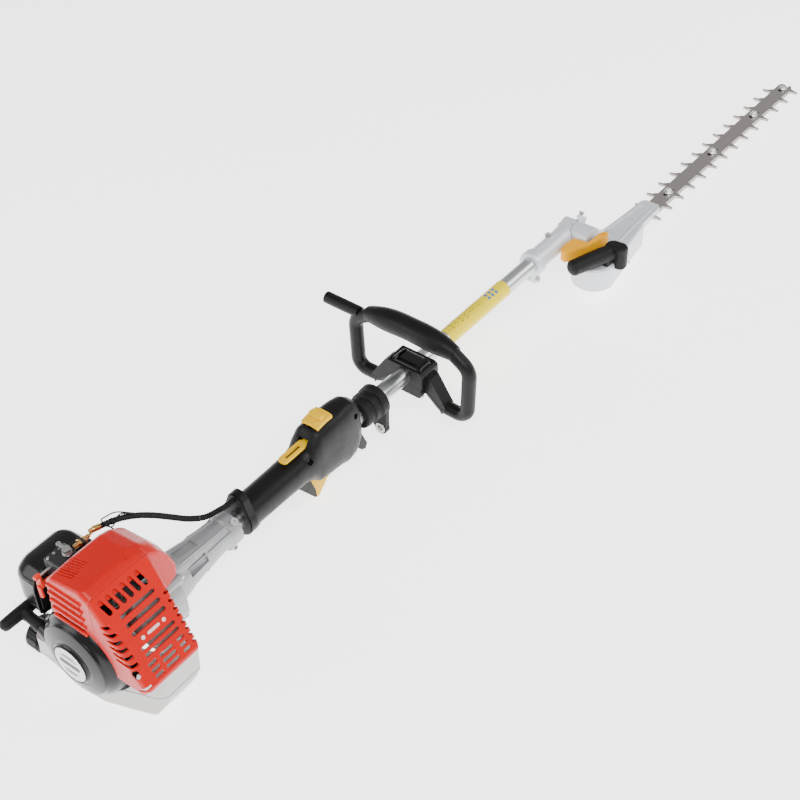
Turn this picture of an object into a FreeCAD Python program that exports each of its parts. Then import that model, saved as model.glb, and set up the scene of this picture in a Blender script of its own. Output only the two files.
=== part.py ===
import FreeCAD, Part
import Sketcher
import math
import os

# Petrol long-reach hedge trimmer. Millimetres. +X runs along the tube from the engine to the blades, +Y is the
# operator's left, +Z is up. The origin is on the tube axis, on the bare stretch between the strap hanger and the
# loop handle's bracket.

Vector = FreeCAD.Vector
AXIS_X, AXIS_Y, AXIS_Z = Vector(1, 0, 0), Vector(0, 1, 0), Vector(0, 0, 1)

doc = FreeCAD.newDocument("hedge_trimmer")
sheet = doc.addObject("Spreadsheet::Sheet", "Sizes")

DIMENSIONS = {
    # tube and the shaft inside it
    "tube_back": -372, "tube_front": 385, "tube_radius": 13, "tube_wall": 1.6,
    "shaft_back": -415, "shaft_front": 396, "shaft_radius": 4, "bush_length": 22, "bush_pitch": 170,
    # clutch case and fan case, on the crank axis
    "case_back": -468, "case_front": -342, "case_collar": 23.5, "case_flange": 37, "lug_circle": 43,
    "fan_back": -512, "fan_radius": 48, "casting_wall": 3, "flywheel_radius": 42,
    # engine block
    "crank_x": -536, "crankcase_radius": 32, "crank_radius": 6, "cylinder_bore": 17, "fin_half": 26, "fin_along": 22,
    "fin_bottom": 40, "fin_count": 8, "fin_pitch": 6.5, "fin_thick": 2,
    # recoil starter
    "starter_back": -612, "starter_front": -559, "starter_radius": 61, "starter_wall": 2.5, "pulley_radius": 22,
    "rope_radius": 2, "rope_line": 18, "rope_angle": 10,
    # tank
    "tank_back": -602, "tank_front": -498, "tank_right": -93, "tank_left": 85, "tank_top": -12,
    "tank_bottom": -85, "tank_wall": 2.5, "tank_saddle": 66, "tank_round": 16,
    "cap_x": -579, "cap_z": -50, "cap_radius": 23,
    # covers
    "cowl_back": -600, "cowl_front": -466, "cowl_left": 35, "cowl_seam": -38, "cowl_wall": 2.2,
    "cowl_rear_top": 119, "cowl_peak": 140, "grille_out": -112, "grille_low": 14, "grille_front": -506,
    # carburettor side
    "carb_x": -556, "carb_z": 84, "filter_back": -592, "filter_front": -498, "filter_low": 11,
    "filter_high": 80, "filter_in": 72, "filter_out": 112,
    # rear grip
    "grip_back": -329, "grip_front": -97,
    # strap hanger
    "hanger_back": -86, "hanger_front": -42, "hanger_tilt": 17.5, "eye_drop": 43, "eye_radius": 4.5,
    # loop handle
    "loop_x": 39, "loop_bar": 10.5, "loop_grip": 16.5, "loop_half": 99, "loop_top": 71, "loop_low": -43,
    "bracket_half": 33, "bracket_back": 19, "bracket_front": 57, "barrier_reach": 152, "barrier_bar": 9,
    # upper gearcase and pivot
    "clamp_back": 338, "clamp_front": 356, "gear_body": 17, "pivot_x": 450,
    "disc_radius": 22, "disc_left": -6, "disc_right": -10, "disc_notches": 12,
    # cutter gearcase
    "blade_y": -46, "cutter_low": -64, "cutter_high": -24, "round_x": 440, "round_y": -54, "round_radius": 34,
    "step_x": 565, "nose_x": 632, "hub_right": -41, "hub_radius": 20,
    "jack_y": -27, "eccentric_x": 472, "eccentric_throw": 8, "gear_radius": 19.8, "pinion_radius": 8.9,
    # blades
    "blade_top": -38, "blade_thick": 2, "bar_thick": 3, "blade_half": 13, "blade_root": 466, "blade_tip": 1116,
    "tooth_reach": 15.5, "tooth_pitch": 37.7, "first_left": 626, "first_right": 612, "teeth_left": 13,
    "teeth_right": 14, "bolt_first": 686, "bolt_pitch": 150.8, "bolt_count": 3, "tip_bolt": 1101,
    "blade_gap": 0.3,
}

for row, (alias, number) in enumerate(DIMENSIONS.items(), start=1):
    sheet.set(f"A{row}", alias)
    sheet.set(f"B{row}", str(number))
    sheet.setAlias(f"B{row}", alias)
doc.recompute()


class Size:
    """A length held both as a number and as the spreadsheet expression it comes from."""

    def __init__(self, number, text):
        self.number = number
        self.text = text

    def join(self, other, sign, result):
        other_text = other.text if isinstance(other, Size) else f"({other})"
        return Size(result, f"({self.text} {sign} {other_text})")

    def __add__(self, other):
        return self.join(other, "+", self.number + float(other))

    def __sub__(self, other):
        return self.join(other, "-", self.number - float(other))

    def __mul__(self, other):
        return self.join(other, "*", self.number * float(other))

    def __neg__(self):
        return Size(-self.number, f"(0 - {self.text})")

    def __float__(self):
        return float(self.number)


class Sizes:
    """Reads the sheet's cells by alias."""

    def __getattr__(self, alias):
        return Size(float(sheet.get(alias)), f"Sizes.{alias}")


D = Sizes()


def bind(thing, place, length):
    """Sets a property to a plain number, or binds it to the sheet."""
    if isinstance(length, Size):
        thing.setExpression(place, length.text)
    else:
        thing.setExpression(place, str(float(length)))


def place(thing, spot=(0, 0, 0), rotation=None):
    """Puts a primitive or body at a spot whose coordinates follow the sheet."""
    numbers = Vector(*[float(c) for c in spot])
    thing.Placement = FreeCAD.Placement(numbers, rotation or FreeCAD.Rotation())
    for letter, length in zip("xyz", spot):
        bind(thing, f".Placement.Base.{letter}", length)
    return thing


TO_X = FreeCAD.Rotation(AXIS_Y, 90)      # turns a primitive's own Z onto +X
TO_Y = FreeCAD.Rotation(AXIS_X, -90)     # turns a primitive's own Z onto +Y
TURNS = {"x": TO_X, "y": TO_Y, "z": FreeCAD.Rotation()}

made = []                                # the finished sub-parts, in order
fasteners = []                           # the screws, nuts and pins of the main frame
counter = [0]


def fresh(kind, hint):
    counter[0] += 1
    return doc.addObject(kind, f"{hint}_{counter[0]}")


def finish(thing, label):
    """Names a sub-part: its label is its file's name."""
    thing.Label = label
    made.append(thing)
    return thing


# Part primitives and booleans


def rod(radius, start, end, along="x", at=(0, 0), inner=None):
    """A cylinder along an axis from start to end; at gives its two other coordinates, inner a bore."""
    def one(size):
        body = fresh("Part::Cylinder", "rod")
        bind(body, "Radius", size)
        length = (end - start) if isinstance(end, Size) else float(end) - float(start)
        if isinstance(start, Size) and not isinstance(end, Size):
            length = -(start - end)
        bind(body, "Height", length)
        spot = {"x": (start, *at), "y": (at[0], start, at[1]), "z": (*at, start)}[along]
        return place(body, spot, TURNS[along])
    outer = one(radius)
    return outer if inner is None else cut(outer, one(inner))


def cone(radius_a, radius_b, length, spot, rotation):
    body = fresh("Part::Cone", "cone")
    bind(body, "Radius1", radius_a)
    bind(body, "Radius2", radius_b)
    bind(body, "Height", length)
    return place(body, spot, rotation)


def block(low, high):
    """A box between two corners."""
    body = fresh("Part::Box", "block")
    for name, a, b in zip(("Length", "Width", "Height"), low, high):
        span = -(a - b) if isinstance(a, Size) else (b - a if isinstance(b, Size) else float(b) - float(a))
        bind(body, name, span)
    return place(body, low)


def turned_block(size, centre, rotation):
    """A box of a size about a centre, turned in place."""
    body = fresh("Part::Box", "bar")
    for name, length in zip(("Length", "Width", "Height"), size):
        bind(body, name, length)
    half = Vector(*[float(length) / 2 for length in size])
    corner = Vector(*[float(c) for c in centre]) - rotation.multVec(half)
    body.Placement = FreeCAD.Placement(corner, rotation)
    return body


def fuse(*shapes):
    body = fresh("Part::MultiFuse", "fuse")
    body.Shapes = list(shapes)
    body.Refine = True
    return body


def cut(base, *tools):
    body = fresh("Part::Cut", "cut")
    body.Base = base
    body.Tool = tools[0] if len(tools) == 1 else group(*tools)
    return body


def group(*shapes):
    """Several separate solids kept as one object."""
    body = fresh("Part::Compound", "group")
    body.Links = list(shapes)
    return body


def meet(a, b):
    body = fresh("Part::Common", "meet")
    body.Base = a
    body.Tool = b
    return body


def rounded(base, radius, pick):
    """Fillets the edges that pick(edge) chooses."""
    doc.recompute()
    chosen = [(n, radius, radius) for n, edge in enumerate(base.Shape.Edges, start=1) if pick(edge)]
    body = fresh("Part::Fillet", "round")
    body.Base = base
    body.Edges = chosen
    return body


def runs_along(axis, tolerance=0.02):
    """Chooses straight edges that lie along an axis."""
    def pick(edge):
        if len(edge.Vertexes) < 2:
            return False
        way = edge.Vertexes[-1].Point - edge.Vertexes[0].Point
        return way.Length > 1 and abs(abs(way.normalize().dot(axis)) - 1) < tolerance
    return pick


def feature(shape, label=None):
    """Wraps a shape made with Part's own functions."""
    body = fresh("Part::Feature", "shape")
    body.Shape = shape
    return finish(body, label) if label else body


# PartDesign bodies


def origin_plane(body, role):
    return next(f for f in body.Origin.OriginFeatures if f.Role == role)


def sketch_on(body, role, offset=0):
    sketch = body.newObject("Sketcher::SketchObject", f"sketch_{counter[0]}")
    counter[0] += 1
    sketch.AttachmentSupport = [(origin_plane(body, role), "")]
    sketch.MapMode = "FlatFace"
    bind(sketch, ".AttachmentOffset.Base.z", offset)
    return sketch


def polygon(sketch, points):
    """A closed outline whose every corner is dimensioned from the origin and bound to the sheet."""
    numbers = [Vector(float(a), float(b), 0) for a, b in points]
    count = len(numbers)
    first = sketch.GeometryCount
    for n in range(count):
        sketch.addGeometry(Part.LineSegment(numbers[n], numbers[(n + 1) % count]), False)
    for n in range(count):
        follower = first + (n + 1) % count
        sketch.addConstraint(Sketcher.Constraint("Coincident", first + n, 2, follower, 1))
    for n, (a, b) in enumerate(points):
        for kind, length in (("DistanceX", a), ("DistanceY", b)):
            index = sketch.addConstraint(Sketcher.Constraint(kind, -1, 1, first + n, 1, float(length)))
            if isinstance(length, Size):
                sketch.setExpression(f"Constraints[{index}]", length.text)


def circle(sketch, centre, radius):
    spot = Vector(float(centre[0]), float(centre[1]), 0)
    index = sketch.addGeometry(Part.Circle(spot, AXIS_Z, float(radius)), False)
    for kind, length in (("DistanceX", centre[0]), ("DistanceY", centre[1])):
        number = sketch.addConstraint(Sketcher.Constraint(kind, -1, 1, index, 3, float(length)))
        if isinstance(length, Size):
            sketch.setExpression(f"Constraints[{number}]", length.text)
    number = sketch.addConstraint(Sketcher.Constraint("Radius", index, float(radius)))
    if isinstance(radius, Size):
        sketch.setExpression(f"Constraints[{number}]", radius.text)


def new_body(hint):
    return fresh("PartDesign::Body", hint)


def turned(profile, hint="turned"):
    """A body of revolution about X: profile is (x, radius) corners."""
    body = new_body(hint)
    sketch = sketch_on(body, "XZ_Plane")
    polygon(sketch, profile)
    spin = body.newObject("PartDesign::Revolution", f"spin_{counter[0]}")
    spin.Profile = sketch
    spin.ReferenceAxis = (sketch, ["H_Axis"])
    spin.Angle = 360
    return body


def pad(body, sketch, length, hint="pad"):
    """Adds material on the side the sketch's plane faces; XZ sketches face -Y."""
    piece = body.newObject("PartDesign::Pad", f"{hint}_{counter[0]}")
    counter[0] += 1
    piece.Profile = sketch
    bind(piece, "Length", length)
    return piece


def pocket(body, sketch, reverse=False):
    """Cuts right through along the sketch's normal, and checks that it took material away."""
    doc.recompute()
    before = body.Shape.Volume
    piece = body.newObject("PartDesign::Pocket", f"pocket_{counter[0]}")
    counter[0] += 1
    piece.Profile = sketch
    piece.Type = 1
    piece.Reversed = reverse
    doc.recompute()
    if body.Shape.Volume >= before - 0.5:
        raise RuntimeError(f"{piece.Name} cuts nothing")
    return piece


def repeat(body, features, sketch, axis, length, count):
    """Repeats features along a sketch axis and makes the pattern the body's tip."""
    pattern = body.newObject("PartDesign::LinearPattern", f"repeat_{counter[0]}")
    counter[0] += 1
    pattern.Originals = features
    pattern.Direction = (sketch, [axis])
    bind(pattern, "Length", length)
    pattern.Occurrences = count
    body.Tip = pattern
    return pattern


# Shapes made with Part's own functions


def prism(outline, plane, start, end):
    """A prism: outline holds (a, b) corners in the plane across the axis, swept from start to end."""
    def spot(a, b):
        return {"x": Vector(start, a, b), "y": Vector(a, start, b), "z": Vector(a, b, start)}[plane]
    corners = [spot(float(a), float(b)) for a, b in outline]
    wire = Part.makePolygon(corners + corners[:1])
    way = {"x": AXIS_X, "y": AXIS_Y, "z": AXIS_Z}[plane] * (float(end) - float(start))
    return Part.Face(wire).extrude(way)


def ring_wire(x, centre, half_wide, half_high, squareness=0.5):
    """A closed smooth curve across X: squareness 0 is an ellipse, 1 close to a rectangle."""
    points = []
    steps = 24
    power = 2 / (2 + 4 * squareness)
    for n in range(steps):
        turn = 2 * math.pi * n / steps
        across, up = math.cos(turn), math.sin(turn)
        points.append(Vector(
            x,
            centre[0] + half_wide * math.copysign(abs(across) ** power, across),
            centre[1] + half_high * math.copysign(abs(up) ** power, up),
        ))
    curve = Part.BSplineCurve()
    curve.interpolate(points, PeriodicFlag=True)
    return Part.Wire([curve.toShape()])


def eased(sections, steps):
    """Rows of numbers with smooth steps added between each pair of rows."""
    rows = []
    for one, two in zip(sections, sections[1:]):
        for n in range(steps):
            share = n / steps
            bend = share * share * (3 - 2 * share)
            rows.append(tuple(a + (b - a) * (share if i == 0 else 0.5 * (share + bend))
                              for i, (a, b) in enumerate(zip(one, two))))
    return rows + [tuple(sections[-1])]


def skin(sections, ruled=False):
    """A solid lofted through (x, centre, half_wide, half_high, squareness) sections."""
    return Part.makeLoft([ring_wire(*section) for section in sections], True, ruled)


def bent_path(points, largest=None):
    """Straight runs joined by tangent arcs; each arc is as large as its two runs allow. Returns wire and radii."""
    corners = [Vector(*[float(c) for c in p]) for p in points]
    starts, ends, arcs, radii = [corners[0]], [], [], []
    for before, corner, after in zip(corners, corners[1:], corners[2:]):
        back, ahead = before - corner, after - corner
        run = 0.45 * min(back.Length, ahead.Length)
        back.normalize()
        ahead.normalize()
        half_turn = (math.pi - back.getAngle(ahead)) / 2
        radius = run / math.tan(half_turn)
        if largest and radius > largest:
            radius = largest
            run = radius * math.tan(half_turn)
        inside = (back + ahead).normalize()
        middle = corner + inside * (radius / math.cos(half_turn) - radius)
        ends.append(corner + back * run)
        starts.append(corner + ahead * run)
        arcs.append(Part.Arc(ends[-1], middle, starts[-1]).toShape())
        radii.append(round(radius, 1))
    ends.append(corners[-1])
    edges = []
    for n, (a, b) in enumerate(zip(starts, ends)):
        edges.append(Part.LineSegment(a, b).toShape())
        if n < len(arcs):
            edges.append(arcs[n])
    return Part.Wire(edges), radii


def tube_along(points, radius, largest=None, name=None):
    """A round bar along a path; its volume is compared with its section times its length."""
    path, radii = bent_path(points, largest)
    start = path.Edges[0].firstVertex(True).Point
    way = path.Edges[0].tangentAt(path.Edges[0].FirstParameter)
    section = Part.Wire([Part.Circle(start, way, float(radius)).toShape()])
    solid = path.makePipeShell([section], True, True)
    expected = math.pi * float(radius) ** 2 * path.Length
    if abs(solid.Volume / expected - 1) > 0.02:
        raise RuntimeError(f"{name or 'tube'}: volume {solid.Volume:.0f} against {expected:.0f}")
    if name:
        print(f"{name}: length {path.Length:.0f}, arc radii {radii}")
    return solid


def hex_head(centre, way, across, height):
    """A hexagon head standing on centre along way."""
    way = Vector(*way).normalize()
    turn = FreeCAD.Rotation(AXIS_Z, way)
    corners = [
        Vector(across / math.sqrt(3) * math.cos(math.pi * n / 3), across / math.sqrt(3) * math.sin(math.pi * n / 3), 0)
        for n in range(7)
    ]
    head = Part.Face(Part.makePolygon(corners)).extrude(AXIS_Z * height)
    head.Placement = FreeCAD.Placement(Vector(*centre), turn)
    return head


def bolt(centre, way, across, height, shank, length, washer=0):
    """A hexagon bolt whose head bears on centre and whose shank runs the other way."""
    way = Vector(*way).normalize()
    spot = Vector(*centre)
    parts = [hex_head(spot + way * (1.2 if washer else 0), way, across, height)]
    if washer:
        parts.append(Part.makeCylinder(washer, 1.2, spot, way))
    parts.append(Part.makeCylinder(shank, length, spot - way * length, way))
    return parts[0].multiFuse(parts[1:]).removeSplitter()


def socket_screw(centre, way, head, height, shank, length):
    """A cap screw with a hexagon socket."""
    way = Vector(*way).normalize()
    spot = Vector(*centre)
    body = Part.makeCylinder(head, height, spot, way).fuse(Part.makeCylinder(shank, length, spot - way * length, way))
    socket = hex_head(spot + way * (height * 0.45), way, head, height)
    return body.cut(socket).removeSplitter()


def gear_blank(radius, thickness, teeth, depth, bore):
    """A spur gear along Z from 0 whose teeth are cut inwards from its outer radius."""
    gear = Part.makeCylinder(radius, thickness)
    gap = 2 * math.pi * radius / teeth * 0.5
    slots = []
    for n in range(teeth):
        slot = Part.makeBox(depth * 2, gap, thickness * 3, Vector(radius - depth, -gap / 2, -thickness))
        slot.rotate(Vector(), AXIS_Z, 360 * n / teeth)
        slots.append(slot)
    return gear.cut(slots + [Part.makeCylinder(bore, thickness * 3, Vector(0, 0, -thickness))])


def bevel_blank(large, small, thickness, teeth, depth, bore):
    """A bevel gear along Z, its large end at 0, with grooves cut inwards from the pitch cone."""
    gear = Part.makeCone(large, small, thickness)
    lean = math.degrees(math.atan2(large - small, thickness))
    slots = []
    for n in range(teeth):
        slot = Part.makeBox(depth * 2, math.pi * large / teeth, thickness * 4,
                            Vector(0, -math.pi * large / teeth / 2, -thickness * 2))
        slot.rotate(Vector(), AXIS_Y, -lean)
        slot.translate(Vector(large - depth, 0, 0))
        slot.rotate(Vector(), AXIS_Z, 360 * n / teeth)
        slots.append(slot)
    return gear.cut(slots + [Part.makeCylinder(bore, thickness * 3, Vector(0, 0, -thickness))])


def moved(shape, spot, along="z"):
    """A copy whose own Z is turned onto an axis and whose origin goes to spot."""
    turn = {"x": TO_X, "y": TO_Y, "z": FreeCAD.Rotation(), "-y": FreeCAD.Rotation(AXIS_X, 90),
            "-x": FreeCAD.Rotation(AXIS_Y, -90), "-z": FreeCAD.Rotation(AXIS_X, 180)}[along]
    copy = shape.copy()
    copy.Placement = FreeCAD.Placement(Vector(*[float(c) for c in spot]), turn)
    return copy


# The tube and what turns inside it


def build_shaft():
    bore = D.tube_radius - D.tube_wall
    finish(turned([(D.tube_back, D.tube_radius), (D.tube_front, D.tube_radius),
                   (D.tube_front, bore), (D.tube_back, bore)], "tube"), "drive_tube")
    shaft = rod(D.shaft_radius, D.shaft_back, D.shaft_front)
    pivot = float(D.pivot_x)
    front = float(D.shaft_front)
    pinion = moved(bevel_blank(6, 4, 4, 10, 1.2, 0.5), (pivot - 12, 0, 0), "x")
    stem = Part.makeCylinder(5, 38, Vector(pivot - 50, 0, 0), AXIS_X)
    tail = Part.makeCylinder(6.5, 16, Vector(front - 8, 0, 0), AXIS_X)
    stem = feature(pinion.multiFuse([stem, tail]).removeSplitter())
    finish(fuse(shaft, stem), "drive_shaft")
    bushes = []
    for n in range(4):
        start = D.bush_pitch * n - 270
        bushes.append(rod(bore - 0.1, start, start + D.bush_length, inner=D.shaft_radius + 0.05))
    back = D.case_back
    bearings = [rod(14, back + 19 + 0.5 + 9.7 * n, back + 28.5 + 9.7 * n, inner=6) for n in range(2)]
    bearings.append(rod(10.9, D.pivot_x - 44, D.pivot_x - 36, inner=5.05))
    finish(group(*bushes, *bearings), "shaft_bearings")


# The clutch


def build_clutch():
    back, front, collar = D.case_back, D.case_front, D.case_collar
    shell = turned([
        (back, D.case_flange), (back + 5, D.case_flange), (back + 7, 33.5), (back + 20, 31.5),
        (back + 36, 28.5), (back + 60, 25), (back + 84, 22), (back + 100, 21), (front - 18, 21),
        (front - 15, collar), (front, collar), (front, D.tube_radius), (D.tube_back, D.tube_radius),
        (D.tube_back, 8), (back + 39, 8), (back + 39, 14), (back + 19, 14), (back + 19, 29.6), (back, 29.6),
    ], "case")
    lugs, holes = [], []
    for n in range(4):
        turn = math.radians(45 + 90 * n)
        across, up = math.cos(turn), math.sin(turn)
        lugs.append(rod(8, back, back + 6, at=(D.lug_circle * across, D.lug_circle * up)))
        lugs.append(turned_block((6, 24, 13), (float(back) + 3, 33 * across, 33 * up),
                                 FreeCAD.Rotation(AXIS_X, 45 + 90 * n)))
        holes.append(rod(3.2, back - 1, back + 9, at=(D.lug_circle * across, D.lug_circle * up)))
    pockets = []
    for n in range(6):
        angle = 30 + 60 * n
        across, up = math.cos(math.radians(angle)), math.sin(math.radians(angle))
        pockets.append(turned_block((34, 12, 13), (float(back) + 46, 27.5 * across, 27.5 * up),
                                    FreeCAD.Rotation(AXIS_X, angle)))
    pinch = block((front - 14, -9, -collar - 6), (front - 1, 9, -collar + 6))
    slit = block((front - 24, -1.2, -collar - 8), (front + 1, 1.2, -D.tube_radius + 1))
    pinch_hole = rod(3.1, -12, 12, "y", at=(front - 7.5, -collar - 1.5))
    screw_way = Vector(0, -0.57, 0.82)
    screw_hole = feature(Part.makeCylinder(3.1, 14, Vector(float(front) - 6, 0, 0) + screw_way * 13.2, screw_way))
    seats = [rod(5.2, 9, 20, "y", at=(front - 7.5, -collar - 1.5)),
             rod(5.2, -20, -9, "y", at=(front - 7.5, -collar - 1.5))]
    bore = rod(29.6, back - 1, back + 19)
    case = cut(fuse(shell, *lugs, pinch), *holes, *pockets, *seats, slit, pinch_hole, screw_hole, bore,
               rod(D.tube_radius, D.tube_back, front + 1))
    finish(case, "clutch_case")
    bolts = []
    for n in range(4):
        turn = math.radians(45 + 90 * n)
        spot = (float(back) + 6, float(D.lug_circle) * math.cos(turn), float(D.lug_circle) * math.sin(turn))
        bolts.append(bolt(spot, (1, 0, 0), 8, 4.5, 3, 16, 6))
    fasteners.extend(bolts)
    low = -float(collar) - 1.5
    pinch_bolt = socket_screw((float(front) - 7.5, -9, low), (0, -1, 0), 4.8, 5, 2.9, 17)
    nut = hex_head((float(front) - 7.5, 9, low), (0, 1, 0), 8, 4).cut(
        Part.makeCylinder(2.9, 20, Vector(float(front) - 7.5, -5, low), AXIS_Y))
    lock = socket_screw(Vector(float(front) - 6, 0, 0) + screw_way * 23.6, screw_way, 5, 4.5, 2.9, 10)
    fasteners.extend([pinch_bolt, nut, lock])
    drum = turned([
        (back + 1, 28), (back + 17, 28), (back + 17, 6), (back + 70, 6), (back + 70, 4),
        (D.shaft_back, 4), (D.shaft_back, 0), (back + 14.5, 0), (back + 14.5, 26), (back + 1, 26),
    ], "drum")
    finish(drum, "clutch_drum")


def build_flywheel():
    back = float(D.fan_back)
    wall = float(D.casting_wall)
    radius = float(D.fan_radius)
    front = float(D.case_back)
    outer = Part.makeCylinder(radius, front - back, Vector(back, 0, 0), AXIS_X)
    lugs = []
    for n in range(4):
        turn = math.radians(45 + 90 * n)
        spot = Vector(front - 18, float(D.lug_circle) * math.cos(turn), float(D.lug_circle) * math.sin(turn))
        lugs.append(Part.makeCylinder(8, 18, spot, AXIS_X))
    inner = Part.makeCylinder(radius - wall, front - back, Vector(back + wall, 0, 0), AXIS_X)
    shell = outer.cut(inner).multiFuse(lugs)
    keep = Part.makeCylinder(float(D.flywheel_radius) + 1.2, front - back, Vector(back + wall, 0, 0), AXIS_X)
    holes = [Part.makeCylinder(3.2, 30, Vector(front - 12, float(D.lug_circle) * math.cos(math.radians(45 + 90 * n)),
                               float(D.lug_circle) * math.sin(math.radians(45 + 90 * n))), AXIS_X) for n in range(4)]
    window = Part.makeBox(24, 37, 60, Vector(back + wall, -18.5, 30))
    hub_hole = Part.makeCylinder(16, wall * 4, Vector(back - wall, 0, 0), AXIS_X)
    feature(shell.cut([keep, hub_hole, window] + holes).removeSplitter(), "fan_case")
    disc = Part.makeCylinder(float(D.flywheel_radius) - 6, 8, Vector(back + 6, 0, 0), AXIS_X)
    rim = Part.makeCylinder(float(D.flywheel_radius), 5, Vector(back + 14.2, 0, 0), AXIS_X)
    fins = []
    for n in range(16):
        fin = Part.makeBox(8.4, 18, 1.8, Vector(back + 5.9, float(D.flywheel_radius) - 18.2, -0.9))
        fin.rotate(Vector(back, 0, 0), AXIS_X, 360 * n / 16)
        fins.append(fin)
    hub = Part.makeCylinder(11, 18, Vector(back + 6, 0, 0), AXIS_X)
    centre = Part.makeCylinder(float(D.crank_radius), 60, Vector(back - 5, 0, 0), AXIS_X)
    feature(disc.multiFuse([rim, hub] + fins).cut(centre).removeSplitter(), "flywheel")
    coil = Part.makeBox(16, 30, 12, Vector(back + 6, -15, float(D.flywheel_radius) + 1))
    coil = coil.fuse(Part.makeCylinder(9, 16, Vector(back + 6, 0, float(D.flywheel_radius) + 18), AXIS_X))
    coil = coil.cut(Part.makeCylinder(float(D.flywheel_radius) + 1.2, 60, Vector(back, 0, 0), AXIS_X))
    feature(coil.removeSplitter(), "ignition_coil")
    shoes = []
    for side in (1, -1):
        ring = Part.makeCylinder(24.5, 12, Vector(front + 2, 0, 0), AXIS_X)
        ring = ring.cut(Part.makeCylinder(14, 12, Vector(front + 2, 0, 0), AXIS_X))
        half = Part.makeBox(14, 60, 60, Vector(front + 1, -30, 1.5 if side > 0 else -61.5))
        shoes.append(ring.common(half))
    carrier = Part.makeCylinder(12, 14, Vector(front - 13, 0, 0), AXIS_X)
    carrier = carrier.multiFuse([Part.makeCylinder(13.9, 12, Vector(front + 2, 0, 0), AXIS_X),
                                 Part.makeCylinder(10, 6, Vector(front, 0, 0), AXIS_X)])
    carrier = carrier.cut(centre).removeSplitter()
    feature(Part.makeCompound([carrier] + shoes), "clutch_rotor")


# The engine


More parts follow.
